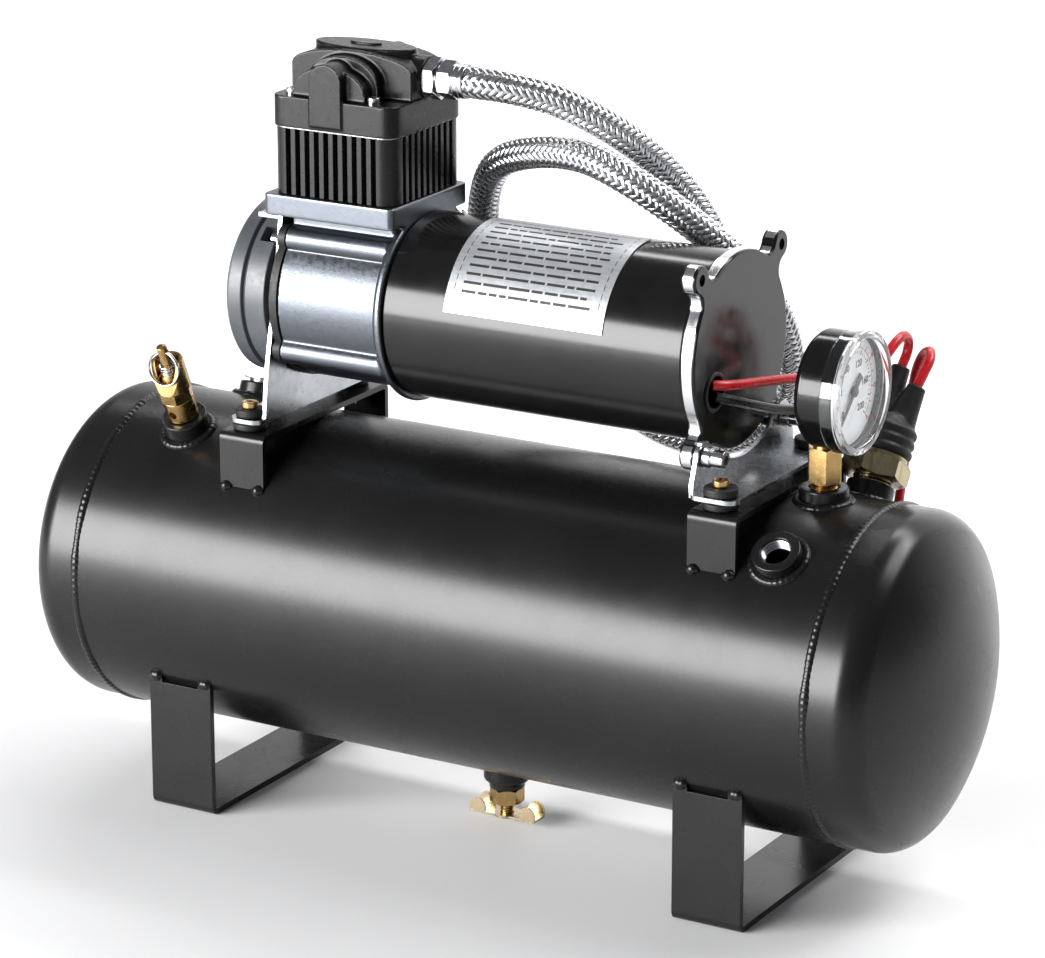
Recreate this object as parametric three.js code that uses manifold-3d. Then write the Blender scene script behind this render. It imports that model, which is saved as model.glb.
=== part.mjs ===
// A 12-volt air compressor on a horizontal two-gallon tank.
// Millimetres, +Z up. X runs along the tank, -Y is the front, and the origin is on the floor
// midway between the legs.

import * as THREE from 'three';
import { mergeVertices } from 'three/addons/utils/BufferGeometryUtils.js';
import Module from 'manifold-3d';

const wasm = await Module();
wasm.setup();

// ---------------------------------------------------------------- driving dimensions

const GAP = 0.3; // clearance between pieces that rest on or follow each other

const TANK = {
  radius: 76.2, wall: 2.8, axisZ: 106.2, weldX: 189, weldWidth: 7, weldHeight: 1.2,
  flange: 13, knuckle: 15, crown: 145.5, holeRadius: 6,
};
TANK.cut = TANK.radius + GAP;
TANK.topZ = TANK.axisZ + TANK.radius;

const PORTS = {
  relief: { x: -154, lean: 24, height: 8 },
  inlet: { x: -154, lean: -23.5, height: 6 },
  service: { x: 161, lean: 36, height: 6 },
  gauge: { x: 160, lean: 0, height: 6 },
  switch: { x: 161, lean: -33, height: 8 },
  drain: { x: 0, lean: 180, height: 12.5 },
};
const BUNG = { radius: 11, bore: 6.6, weldRadius: 14.5, weldRise: 3, depth: 3, chamfer: 1 };

const LEG = { x: 138.5, width: 34, halfSpan: 65, thickness: 3, bend: 5, notch: 20, notchZ: 62 };
const STRAP = {
  leftX: -108.8, rightX: 133, width: 23.4, halfSpan: 54, thickness: 2.6, bend: 4, topZ: 185.7,
  boltY: 43.5, boltHole: 2.7, nutFlats: 9, nutHeight: 4.5,
};

const AXIS_Z = 244.4; // crankshaft and motor axis above the floor
const FOOT = { z: 189.5, thickness: 2, halfWidth: 50.5, hole: 5 };
const LEFT_BRACKET = {
  x: -103.5, footX: -118.5, isolatorX: -110.5, topZ: 283.5, tabX: -114.5, tabs: [20.5, 27.5], opening: 31,
  edge: [[44.5, FOOT.z], [41.5, 213], [38.2, 229], [35.8, 243], [33.6, 257], [30, 270]],
};
const EAR = { y: 37.5, z: 39, radius: 6.3, hole: 2.6 }; // the end plate's ears, from the motor axis
const RIGHT_BRACKET = { x: 118.8, footX: 142, isolatorX: 132, lobeRadius: 7, arc: 47.5 };
const ISOLATOR = { lowerRadius: 7.9, leftUpper: 6.6, rightUpper: 7.6, neck: 4.7, bore: 2.6, top: 195.5 };
const BOLT = { shank: 2.2, end: 176, collar: 3.75, height: 2.7 };

const MOTOR = { radius: 42.5, wall: 3, left: -39.5, right: 111 };
const LABEL = { left: -8, right: 72, from: -4, to: 77, thickness: 0.3 };
const END_PLATE = {
  x: MOTOR.right + GAP, thickness: 7.2, radius: 44, fillet: 6, wireY: -25, wireZ: -13.4, wireHole: 9,
};

const CASE = { left: -97, right: -43.5, radius: 40, bore: 33, ringRadius: 45, ribRadius: 6, ribAt: 39.5 };
const RIB_ANGLES = [47, -34, 133, 214]; // degrees above the -Y direction
const CAP_SCREW_AT = { y: 25.5, z: 27, hole: 2.3 }; // measured from the crank axis
const DECK = { left: -108.5, right: -39.8, halfWidth: 33, bottom: 39.8, top: 49.8 }; // above the crank axis
const BARREL = {
  x: -73, halfLength: 32, halfWidth: 31, corner: 8, top: 80.6, bore: 23.6, finDepth: 4.4, finPitch: 5,
};
const HEAD = { bottom: BARREL.top + GAP, slabTop: 95.1, halfLength: 32.7, halfWidth: 31 };
const HEAD_LOBES = [ // round-topped walls on both flanks, in X, with their reach in Y
  { x0: -83.6, x1: -66.8, shoulder: 104, top: 111.6, outer: 32, inner: 18 },
  { x0: -95, x1: -57.5, shoulder: 98, top: 109.2, outer: 27, inner: 18 },
  { x0: -92, x1: -55, shoulder: 101.5, top: 113.4, outer: 20, inner: 10 },
];
const OUTLET = { z: 104.1, nutLeft: -39, nutRight: -33, nutFlats: 17, ferruleFlats: 15.5, ferruleRight: -19 };
const CAP = { left: -125, step: -115.3, right: -104, radius: 41.5, neckRadius: 40.5, groove: 39.5, wall: 4 };

const CRANK = { throw: 7, pin: 4, shaft: 4, rodX: -73, rodThickness: 9, discRight: -56 };
const PISTON = { radius: 16, top: 64.8, thickness: 6 };

const GAUGE = { z: 233, left: 155.5, right: 175, radius: 26, wall: 2, lensRight: 178.5, dialX: 171.5 };
const HOSE_DIAMETER = 14.5;
const WIRE_DIAMETER = 4.5;
const BOOT = { bottom: 22.3, top: 38, radius: 14.2, tipRadius: 4.2 };

// ---------------------------------------------------------------- finishes

function finish(color, roughness, metalness) {
  return new THREE.MeshStandardMaterial({ color, roughness, metalness });
}

const FINISH = {
  tankPaint: finish(0x0b0b0c, 0.38, 0.2),
  blackSteel: finish(0x111112, 0.45, 0.3),
  gloss: finish(0x070708, 0.15, 0.3),
  zinc: finish(0xb9bcc0, 0.35, 0.9),
  castAluminium: finish(0xc4c6c9, 0.35, 0.9),
  blackCast: finish(0x161617, 0.5, 0.2),
  greyPlastic: finish(0x56595c, 0.5, 0),
  rubber: finish(0x101010, 0.8, 0),
  brass: finish(0xc79a4b, 0.3, 1),
  bronze: finish(0x6b5a34, 0.35, 1),
  steel: finish(0xcfd1d4, 0.25, 1),
  braid: finish(0xb5b7ba, 0.35, 1),
  redWire: finish(0xb31217, 0.35, 0),
  blackWire: finish(0x0c0c0c, 0.4, 0),
  dial: finish(0xf2f4f5, 0.5, 0),
  clear: finish(0xdfe6ea, 0.1, 0),
  foil: finish(0xc9cbce, 0.35, 0.7),
};

// ---------------------------------------------------------------- solids

const MERGE_DISTANCE = 1e-4;

/** A closed geometry as a solid, its seams merged and its zero-area triangles dropped. */
function solid(geometry) {
  const bare = geometry.clone();
  bare.deleteAttribute('normal');
  bare.deleteAttribute('uv');
  const merged = mergeVertices(bare, MERGE_DISTANCE);
  const index = merged.index.array;
  const triangles = [];
  for (let i = 0; i < index.length; i += 3) {
    const [a, b, c] = [index[i], index[i + 1], index[i + 2]];
    if (a !== b && b !== c && c !== a) triangles.push(a, b, c);
  }
  return new wasm.Manifold(new wasm.Mesh({
    numProp: 3,
    vertProperties: Float32Array.from(merged.attributes.position.array),
    triVerts: Uint32Array.from(triangles),
  }));
}

/** A solid's surface as a geometry. */
function surface(body) {
  const mesh = body.getMesh();
  const geometry = new THREE.BufferGeometry();
  geometry.setAttribute('position', new THREE.BufferAttribute(mesh.vertProperties, 3));
  geometry.setIndex(new THREE.BufferAttribute(mesh.triVerts, 1));
  geometry.computeVertexNormals();
  return geometry;
}

function block(x0, x1, y0, y1, z0, z1) {
  const box = new THREE.BoxGeometry(x1 - x0, y1 - y0, z1 - z0);
  return solid(box.translate((x0 + x1) / 2, (y0 + y1) / 2, (z0 + z1) / 2));
}

/** A round bar along Z at (x, y). */
function barZ(radius, z0, z1, sides, x = 0, y = 0) {
  const bar = new THREE.CylinderGeometry(radius, radius, z1 - z0, sides);
  return solid(bar.rotateX(Math.PI / 2).translate(x, y, (z0 + z1) / 2));
}

/** A round bar along X at (y, z), between two X planes given in either order. */
function barX(radius, x0, x1, sides, y = 0, z = 0) {
  const bar = new THREE.CylinderGeometry(radius, radius, Math.abs(x1 - x0), sides);
  return solid(bar.rotateZ(Math.PI / 2).translate((x0 + x1) / 2, y, z));
}

/** A hexagon bar along Z, given its distance across flats. */
function hexZ(flats, z0, z1) {
  return barZ(flats / 2 / Math.cos(Math.PI / 6), z0, z1, 6);
}

/** A hexagon bar along X at height z, given its distance across flats. */
function hexX(flats, x0, x1, z) {
  return barX(flats / 2 / Math.cos(Math.PI / 6), x0, x1, 6, 0, z);
}

/** A body of revolution about Z from [radius, z] corners that start and end on the axis. */
function turnedZ(corners, sides) {
  const profile = corners.map(([radius, z]) => new THREE.Vector2(radius, z));
  return solid(new THREE.LatheGeometry(profile, sides).rotateX(Math.PI / 2));
}

/** A body of revolution about X from [radius, x] corners that start and end on the axis. */
function turnedX(corners, sides) {
  const profile = corners.map(([radius, x]) => new THREE.Vector2(radius, x));
  return solid(new THREE.LatheGeometry(profile, sides).rotateZ(-Math.PI / 2));
}

/** An outline drawn in Y and Z, extruded along X. */
function extrudeX(outline, x0, x1, curveSegments = 8) {
  const settings = { depth: x1 - x0, bevelEnabled: false, curveSegments };
  const geometry = new THREE.ExtrudeGeometry(outline, settings);
  geometry.rotateX(Math.PI / 2);
  geometry.rotateZ(Math.PI / 2);
  return solid(geometry.translate(x0, 0, 0));
}

/** An outline drawn in X and Y, extruded along Z. */
function extrudeZ(outline, z0, z1, curveSegments = 8) {
  const settings = { depth: z1 - z0, bevelEnabled: false, curveSegments };
  return solid(new THREE.ExtrudeGeometry(outline, settings).translate(0, 0, z0));
}

/** An outline drawn in X and Z, extruded along Y. */
function extrudeY(outline, y0, y1, curveSegments = 8) {
  const settings = { depth: y1 - y0, bevelEnabled: false, curveSegments };
  const geometry = new THREE.ExtrudeGeometry(outline, settings).rotateX(Math.PI / 2);
  return solid(geometry.translate(0, y1, 0));
}

/** A rectangle with rounded corners. */
function roundedRectangle(x0, x1, y0, y1, radius) {
  const outline = new THREE.Shape();
  outline.absarc(x1 - radius, y1 - radius, radius, 0, Math.PI / 2);
  outline.absarc(x0 + radius, y1 - radius, radius, Math.PI / 2, Math.PI);
  outline.absarc(x0 + radius, y0 + radius, radius, Math.PI, Math.PI * 1.5);
  outline.absarc(x1 - radius, y0 + radius, radius, Math.PI * 1.5, Math.PI * 2);
  return outline;
}

/** A tube of the given diameter along a smooth route. */
function tube(route, diameter, sides, stepsPerPoint) {
  const points = route.map((point) => new THREE.Vector3(...point));
  const path = new THREE.CatmullRomCurve3(points, false, 'centripetal');
  const section = new THREE.Shape();
  for (let i = 0; i < sides; i += 1) {
    const angle = (2 * Math.PI * i) / sides;
    const place = [(diameter / 2) * Math.cos(angle), (diameter / 2) * Math.sin(angle)];
    if (i === 0) section.moveTo(...place);
    else section.lineTo(...place);
  }
  const steps = Math.round((route.length - 1) * stepsPerPoint);
  return solid(new THREE.ExtrudeGeometry(section, { steps, extrudePath: path }));
}

const radians = THREE.MathUtils.degToRad;

// ---------------------------------------------------------------- scene graph

const compressor = new THREE.Group();

/** Adds a named mesh of a solid to a group. */
function add(parent, name, body, material, x = 0, y = 0, z = 0) {
  const mesh = new THREE.Mesh(surface(body), material);
  mesh.name = name;
  mesh.position.set(x, y, z);
  parent.add(mesh);
}

/** A group on the tank's skin: its +Z is the port's outward axis, its origin is on the skin. */
function portGroup({ x, lean }) {
  const turn = new THREE.Group();
  turn.position.set(x, 0, TANK.axisZ);
  turn.rotation.x = radians(lean);
  const skin = new THREE.Group();
  skin.position.z = TANK.radius;
  turn.add(skin);
  compressor.add(turn);
  return skin;
}

const ports = Object.fromEntries(Object.entries(PORTS).map(([name, port]) => [name, portGroup(port)]));

const drive = new THREE.Group(); // everything measured from the crank axis
drive.position.z = AXIS_Z;
compressor.add(drive);

// ---------------------------------------------------------------- tank

/** Half of the tank's meridian, from the pole to the weld, a given depth inside the outer skin. */
function dishedHead(inset, crownSteps, knuckleSteps) {
  const knuckle = TANK.knuckle - inset;
  const crown = TANK.crown - inset;
  const across = TANK.radius - TANK.knuckle;
  const between = TANK.crown - TANK.knuckle;
  const joint = Math.asin(across / between);
  const knuckleX = TANK.weldX + TANK.flange;
  const crownX = knuckleX - Math.sqrt(between ** 2 - across ** 2);
  const corners = [];
  for (let i = 0; i <= crownSteps; i += 1) {
    const angle = (joint * i) / crownSteps;
    corners.push([crown * Math.sin(angle), crownX + crown * Math.cos(angle)]);
  }
  for (let i = 1; i <= knuckleSteps; i += 1) {
    const angle = joint + ((Math.PI / 2 - joint) * i) / knuckleSteps;
    corners.push([across + knuckle * Math.sin(angle), knuckleX + knuckle * Math.cos(angle)]);
  }
  return corners;
}

/** Turns half a meridian and its mirror image about X into a solid. */
function mirroredTank(half, sides) {
  const other = half.map(([radius, x]) => [radius, -x]).reverse();
  return turnedX([...half, ...other].reverse(), sides);
}

/** The hull of the tank's cylindrical part, used to fit welded pieces to its skin. */
function tankCutter(z = 0) {
  return barX(TANK.cut, -TANK.weldX, TANK.weldX, 96, 0, z);
}

/** Rotates a solid's surface about X and shifts it along X. */
function leaned(body, x, lean) {
  return solid(surface(body).rotateX(radians(lean)).translate(x, 0, 0));
}

function tankShell() {
  const bead = [
    [TANK.radius, TANK.weldX + TANK.weldWidth / 2],
    [TANK.radius + TANK.weldHeight, TANK.weldX],
    [TANK.radius, TANK.weldX - TANK.weldWidth / 2],
  ];
  let shell = mirroredTank([...dishedHead(0, 3, 3), ...bead], 40);
  shell = shell.subtract(mirroredTank(dishedHead(TANK.wall, 2, 2), 40));
  for (const { x, lean } of Object.values(PORTS)) {
    const hole = barZ(TANK.holeRadius, TANK.radius - 12, TANK.radius + 6, 12);
    shell = shell.subtract(leaned(hole, x, lean));
  }
  return shell;
}

/** A threaded boss with its weld fillet, sitting on the tank's skin. */
function bung(height, neckRadius = BUNG.radius, neckHeight = 0) {
  const shoulder = height - neckHeight;
  const corners = [
    [0, -BUNG.depth],
    [BUNG.weldRadius, -BUNG.depth],
    [BUNG.weldRadius, 0],
    [BUNG.radius, BUNG.weldRise],
    [BUNG.radius, shoulder - BUNG.chamfer],
    [BUNG.radius - BUNG.chamfer, shoulder],
  ];
  if (neckHeight > 0) corners.push([neckRadius, shoulder], [neckRadius, height]);
  corners.push([0, height]);
  const boss = turnedZ(corners, 18);
  const bore = barZ(BUNG.bore, -2 * BUNG.depth, height + 1, 16);
  return boss.subtract(bore).subtract(tankCutter(-TANK.radius));
}

add(compressor, 'tank_shell', tankShell(), FINISH.tankPaint, 0, 0, TANK.axisZ);
for (const name of ['relief', 'inlet', 'service', 'gauge', 'switch']) {
  add(ports[name], `${name}_port`, bung(PORTS[name].height), FINISH.tankPaint);
}
add(ports.drain, 'drain_port', bung(PORTS.drain.height, 8.4, 2), FINISH.tankPaint);

// ---------------------------------------------------------------- legs and straps

/** A flat bar bent into a U whose open end faces +Z, as an outline in Y and Z. */
function bentBar(halfSpan, thickness, bend, bottom, top) {
  const inner = halfSpan - thickness;
  const innerBend = Math.max(bend - thickness, 1);
  const outline = new THREE.Shape();
  outline.moveTo(halfSpan, top);
  outline.lineTo(inner, top);
  outline.absarc(inner - innerBend, bottom + thickness + innerBend, innerBend, 0, -Math.PI / 2, true);
  outline.absarc(innerBend - inner, bottom + thickness + innerBend, innerBend, -Math.PI / 2, -Math.PI, true);
  outline.lineTo(-inner, top);
  outline.lineTo(-halfSpan, top);
  outline.absarc(bend - halfSpan, bottom + bend, bend, Math.PI, Math.PI * 1.5);
  outline.absarc(halfSpan - bend, bottom + bend, bend, Math.PI * 1.5, Math.PI * 2);
  return outline;
}

/** A leg: a U of flat bar welded to the tank's belly by its corners. */
function leg() {
  const outline = bentBar(LEG.halfSpan, LEG.thickness, LEG.bend, 0, TANK.axisZ - TANK.radius / 2);
  const bar = extrudeX(outline, -LEG.width / 2, LEG.width / 2, 3);
  const notch = block(-LEG.notch / 2, LEG.notch / 2, -LEG.halfSpan - 1, LEG.halfSpan + 1, LEG.notchZ, 100);
  return bar.subtract(tankCutter(TANK.axisZ)).subtract(notch);
}

/** A strap: an upside-down U on the tank's back, with two weld nuts under its deck at boltX. */
function strap(boltX) {
  const below = TANK.axisZ + TANK.radius / 2 - STRAP.topZ;
  const outline = bentBar(STRAP.halfSpan, STRAP.thickness, STRAP.bend, 0, -below);
  let bar = solid(surface(extrudeX(outline, -STRAP.width / 2, STRAP.width / 2, 3)).rotateX(Math.PI));
  for (const y of [-STRAP.boltY, STRAP.boltY]) {
    const nutRadius = STRAP.nutFlats / 2 / Math.cos(Math.PI / 6);
    bar = bar.add(barZ(nutRadius, -STRAP.thickness - STRAP.nutHeight, -STRAP.thickness / 2, 6, boltX, y));
    bar = bar.subtract(barZ(STRAP.boltHole, -20, 1, 12, boltX, y));
  }
  return bar.subtract(tankCutter(TANK.axisZ - STRAP.topZ));
}

add(compressor, 'left_leg', leg(), FINISH.tankPaint, -LEG.x);
add(compressor, 'right_leg', leg(), FINISH.tankPaint, LEG.x);
for (const [side, x, boltX] of [
  ['left', STRAP.leftX, LEFT_BRACKET.isolatorX],
  ['right', STRAP.rightX, RIGHT_BRACKET.isolatorX],
]) {
  add(compressor, `${side}_strap`, strap(boltX - x), FINISH.tankPaint, x, 0, STRAP.topZ);
}

// ---------------------------------------------------------------- brackets and isolators

/** The foot of a bracket, with a hole for each isolator's neck. */
function foot(x0, x1, holeX) {
  const corner = 6;
  const outline = roundedRectangle(x0, x1, -FOOT.halfWidth, FOOT.halfWidth, corner);
  let plate = extrudeZ(outline, FOOT.z, FOOT.z + FOOT.thickness, 3);
  for (const y of [-STRAP.boltY, STRAP.boltY]) {
    plate = plate.subtract(barZ(FOOT.hole, FOOT.z - 1, FOOT.z + FOOT.thickness + 1, 16, holeX, y));
  }
  return plate;
}

/** The tall bracket between the crankcase and its end cap. */
function leftBracket() {
  const { x, footX, isolatorX, topZ, tabX, tabs, opening, edge } = LEFT_BRACKET;
  const right = x + FOOT.thickness;
  const tabTop = topZ - FOOT.thickness;
  const front = [...edge, [tabs[1], topZ]];
  const outline = new THREE.Shape();
  outline.moveTo(front[0][0], front[0][1]);
  outline.splineThru(front.slice(1).map(([y, z]) => new THREE.Vector2(y, z)));
  outline.lineTo(-front.at(-1)[0], topZ);
  outline.splineThru([...front].reverse().slice(1).map(([y, z]) => new THREE.Vector2(-y, z)));
  let plate = extrudeX(outline, x, right, 2);
  plate = plate.subtract(barX(opening, x - 1, right + 1, 28, 0, AXIS_Z));
  plate = plate.add(foot(footX, right, isolatorX));
  for (const side of [-1, 1]) {
    const edges = tabs.map((edgeY) => side * edgeY).sort((a, b) => a - b);
    const { y, z, hole } = CAP_SCREW_AT;
    plate = plate.add(block(tabX, right, ...edges, tabTop, topZ));
    plate = plate.subtract(barX(hole, x - 1, right + 1, 12, side * y, AXIS_Z + z));
  }
  return plate;
}

/** The low bracket under the motor's end plate, cut away round the motor. */
function rightBracket() {
  const { x, footX, isolatorX, lobeRadius, arc } = RIGHT_BRACKET;
  const right = x + FOOT.thickness;
  const lobeZ = AXIS_Z - EAR.z;
  const outline = new THREE.Shape();
  outline.moveTo(-48, FOOT.z);
  outline.lineTo(48, FOOT.z);
  outline.lineTo(48, FOOT.z + 6);
  outline.lineTo(EAR.y + lobeRadius, lobeZ);
  outline.absarc(EAR.y, lobeZ, lobeRadius, 0, Math.PI * 0.75);
  outline.absarc(-EAR.y, lobeZ, lobeRadius, Math.PI * 0.25, Math.PI);
  outline.lineTo(-48, FOOT.z + 6);
  let plate = extrudeX(outline, x, right, 3);
  plate = plate.subtract(barX(arc, x - 1, right + 1, 48, 0, AXIS_Z));
  for (const y of [-EAR.y, EAR.y]) {
    plate = plate.subtract(barX(EAR.hole, x - 1, right + 1, 12, y, lobeZ));
  }
  return plate.add(foot(x, footX, isolatorX));
}

/** A rubber isolator: two collars joined by a neck that fills the hole in a bracket's foot. */
function isolator(upperRadius) {
  const { lowerRadius, neck, bore, top } = ISOLATOR;
  const corners = [
    [0, STRAP.topZ + GAP],
    [lowerRadius, STRAP.topZ + GAP],
    [lowerRadius, FOOT.z - GAP],
    [neck, FOOT.z - GAP],
    [neck, FOOT.z + FOOT.thickness + GAP],
    [upperRadius, FOOT.z + FOOT.thickness + GAP],
    [upperRadius, top - 1],
    [upperRadius - 1, top],
    [0, top],
  ];
  return turnedZ(corners, 14).subtract(barZ(bore, STRAP.topZ, top + 1, 10));
}

/** A brass bolt with a slotted collar, screwed through an isolator into a weld nut. */
function isolatorBolt() {
  const { shank, end, collar, height } = BOLT;
  const seat = ISOLATOR.top + GAP;
  const top = seat + height;
  const corners = [[0, end], [shank, end], [shank, seat], [collar, seat], [collar, top], [0, top]];
  const slot = block(-collar, collar, -0.6, 0.6, top - 1, top + 1);
  return turnedZ(corners, 12).subtract(slot);
}

add(compressor, 'left_bracket', leftBracket(), FINISH.zinc);
add(compressor, 'right_bracket', rightBracket(), FINISH.zinc);
for (const [side, x, upperRadius] of [
  ['left', LEFT_BRACKET.isolatorX, ISOLATOR.leftUpper],
  ['right', RIGHT_BRACKET.isolatorX, ISOLATOR.rightUpper],
]) {
  for (const [row, y] of [['front', -STRAP.boltY], ['rear', STRAP.boltY]]) {
    add(compressor, `${side}_${row}_isolator`, isolator(upperRadius), FINISH.rubber, x, y);
    add(compressor, `${side}_${row}_isolator_bolt`, isolatorBolt(), FINISH.brass, x, y);
  }
}

// ---------------------------------------------------------------- crankcase

/** The case's round section with its four screw ribs, between two X planes. */
function ribbedCase(x0, x1, radius) {
  let body = barX(radius, x0, x1, 32);
  for (const degrees of RIB_ANGLES) {
    const y = -CASE.ribAt * Math.cos(radians(degrees));
    const z = CASE.ribAt * Math.sin(radians(degrees));
    body = body.add(barX(CASE.ribRadius, x0, x1, 12, y, z));
  }
  return body;
}

function crankcase() {
  const { left, right, bore } = CASE;
  const wall = 3;
  const outline = roundedRectangle(DECK.left, DECK.right, -DECK.halfWidth, DECK.halfWidth, 3);
  return ribbedCase(left, right, CASE.radius)
    .add(block(left, right, -24, 24, 20, DECK.bottom + 1))
    .add(barX(CASE.ringRadius, right - 1, DECK.right, 36))
    .add(extrudeZ(outline, DECK.bottom, DECK.top, 2))
    .subtract(barX(bore, left - 1, right - wall, 28))
    .subtract(barX(CRANK.shaft + 1, left, DECK.right + 1, 12))
    .subtract(barZ(BARREL.bore, 10, DECK.top + 1, 28, BARREL.x));
}

function crankcaseGasket() {
  const x0 = LEFT_BRACKET.x + FOOT.thickness + GAP;
  const x1 = CASE.left - GAP;
  const roof = block(x0 - 1, x1 + 1, -60, 60, DECK.bottom - GAP, 60);
  return ribbedCase(x0, x1, CASE.radius + 0.6)
    .subtract(barX(CASE.bore, x0 - 1, x1 + 1, 28))
    .subtract(roof);
}

function endCap() {
  const { left, step, right, radius, neckRadius, groove, wall } = CAP;
  const corners = [
    [0, left], [radius - 1.5, left], [radius, left + 1.5], [radius, step - 0.6], [groove, step - 0.3],
    [groove, step + 0.3], [neckRadius, step + 0.6], [neckRadius, right], [0, right],
  ];
  const hollow = barX(CASE.bore + 1.5, left + wall, right + 1, 28);
  const flat = block(DECK.left - GAP, right + 1, -20, 20, DECK.bottom - GAP, 60);
  return turnedX(corners, 36).subtract(hollow).subtract(flat);
}

/** A socket-head screw along X: a shank, a collar against the seat and a head beyond it. */
function bracketScrew({ seat, headEnd, headRadius, collarEnd, collarRadius, shankEnd, shankRadius }) {
  const outward = Math.sign(headEnd - seat);
  const socket = barX(headRadius * 0.55, headEnd - 2 * outward, headEnd + outward, 6);
  return barX(shankRadius, shankEnd, seat + outward / 2, 10)
    .add(barX(headRadius, seat, headEnd, 14))
    .add(barX(collarRadius, seat, collarEnd, 14))
    .subtract(socket);
}

/** Drills a piece along X for both cap screws. */
function drilledForScrews(body, radius, x0, x1) {
  const { y, z } = CAP_SCREW_AT;
  return body.subtract(barX(radius, x0, x1, 12, -y, z)).subtract(barX(radius, x0, x1, 12, y, z));
}

const SCREW_TIP = -90;
const SCREW_HOLE_END = SCREW_TIP + 2;
const CAP_POCKET = 5; // room in the end cap for a screw's head
const drilledCase = drilledForScrews(crankcase(), CAP_SCREW_AT.hole, CASE.left - 1, SCREW_HOLE_END);
const drilledGasket = drilledForScrews(crankcaseGasket(), CAP_SCREW_AT.hole, CAP.right, SCREW_HOLE_END);
const drilledCap = drilledForScrews(endCap(), CAP_POCKET, CAP.right - 8, CAP.right + 1);
add(drive, 'crankcase', drilledCase, FINISH.castAluminium);
add(drive, 'crankcase_gasket', drilledGasket, FINISH.rubber);
add(drive, 'end_cap', drilledCap, FINISH.greyPlastic);

// ---------------------------------------------------------------- bracket screws

const CAP_SCREW = {
  seat: LEFT_BRACKET.x - GAP, headEnd: LEFT_BRACKET.x - 4, headRadius: 3.5,
  collarEnd: LEFT_BRACKET.x - 1, collarRadius: 3.5, shankEnd: SCREW_TIP, shankRadius: 2,
};
const EAR_SEAT = RIGHT_BRACKET.x + FOOT.thickness + GAP;
const EAR_SCREW = {
  seat: EAR_SEAT, headEnd: EAR_SEAT + 10, headRadius: 4,
  collarEnd: EAR_SEAT + 4, collarRadius: 4.8, shankEnd: END_PLATE.x + 1, shankRadius: 2.2,
};
for (const [row, side] of [['front', -1], ['rear', 1]]) {
  const { y, z } = CAP_SCREW_AT;
  add(drive, `left_${row}_screw`, bracketScrew(CAP_SCREW), FINISH.steel, 0, side * y, z);
  add(drive, `right_${row}_screw`, bracketScrew(EAR_SCREW), FINISH.steel, 0, side * EAR.y, -EAR.z);
}

// ---------------------------------------------------------------- cylinder and head

/** The outline of the finned barrel: a rounded rectangle with a slot between each pair of fins. */
function finnedOutline() {
  const { halfLength, halfWidth, corner, finDepth, finPitch } = BARREL;
  const finWidth = finPitch / 2;
  const outline = new THREE.Shape();
  outline.moveTo(halfLength, -halfWidth + corner);
  const flank = 2 * (halfWidth - corner);
  const face = 2 * (halfLength - corner);
  const sides = [
    { along: [0, 1], start: [halfLength, -halfWidth + corner], length: flank, inward: [-1, 0] },
    { along: [-1, 0], start: [halfLength - corner, halfWidth], length: face, inward: [0, -1] },
    { along: [0, -1], start: [-halfLength, halfWidth - corner], length: flank, inward: [1, 0] },
    { along: [1, 0], start: [-halfLength + corner, -halfWidth], length: face, inward: [0, 1] },
  ];
  for (const { along, start, length, inward } of sides) {
    const at = (distance, depth) => [
      start[0] + along[0] * distance + inward[0] * depth,
      start[1] + along[1] * distance + inward[1] * depth,
    ];
    outline.lineTo(...at(0, 0));
    const slots = Math.floor((length + finWidth) / finPitch);
    const first = (length - slots * finPitch + finWidth) / 2;
    for (let i = 0; i < slots; i += 1) {
      const slot = first + i * finPitch;
      outline.lineTo(...at(slot, 0));
      outline.lineTo(...at(slot, finDepth));
      outline.lineTo(...at(slot + finWidth, finDepth));
      outline.lineTo(...at(slot + finWidth, 0));
    }
    outline.lineTo(...at(length, 0));
  }
  return outline;
}

function cylinder() {
  const bore = new THREE.Path();
  bore.absarc(0, 0, BARREL.bore, 0, Math.PI * 2, true);
  const outline = finnedOutline();
  outline.holes.push(bore);
  return extrudeZ(outline, DECK.top + GAP, BARREL.top, 18);
}

/** A round-topped wall across the head: an outline in X and Z, extruded along Y. */
function arch(x0, x1, shoulder, top, y0, y1) {
  const centre = (x0 + x1) / 2;
  const outline = new THREE.Shape();
  outline.moveTo(x0, HEAD.bottom + 2);
  outline.lineTo(x0, shoulder);
  outline.absellipse(centre, shoulder, (x1 - x0) / 2, top - shoulder, Math.PI, 0, true);
  outline.lineTo(x1, HEAD.bottom + 2);
  return extrudeY(outline, y0, y1, 4);
}

function head() {
  const { bottom, slabTop, halfLength, halfWidth } = HEAD;
  const outline = roundedRectangle(-halfLength, halfLength, -halfWidth, halfWidth, BARREL.corner);
  const shift = (body) => solid(surface(body).translate(-BARREL.x, 0, 0));
  let body = extrudeZ(outline, bottom, slabTop, 4);
  for (const side of [-1, 1]) {
    for (const { x0, x1, shoulder, top, outer, inner } of HEAD_LOBES) {
      const walls = [side * outer, side * inner].sort((a, b) => a - b);
      body = body.add(shift(arch(x0, x1, shoulder, top, ...walls)));
    }
  }
  const hump = arch(-104, -40.8, 107.5, 115.2, -14, 14);
  const oval = (length, width, z0, z1) => solid(surface(barZ(1, z0, z1, 16)).scale(length, width, 1));
  const boss = barX(9.6, 25, OUTLET.nutLeft - GAP - BARREL.x, 24, 0, OUTLET.z);
  return body.add(shift(hump)).add(oval(26, 11, 110, 116.2)).add(oval(8, 3.6, 115.5, 117.1)).add(boss);
}

function headScrew() {
  const seat = HEAD.slabTop + GAP;
  return barZ(3, seat, seat + 2.4, 16).subtract(barZ(1.6, seat + 1, seat + 3, 6));
}

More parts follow.
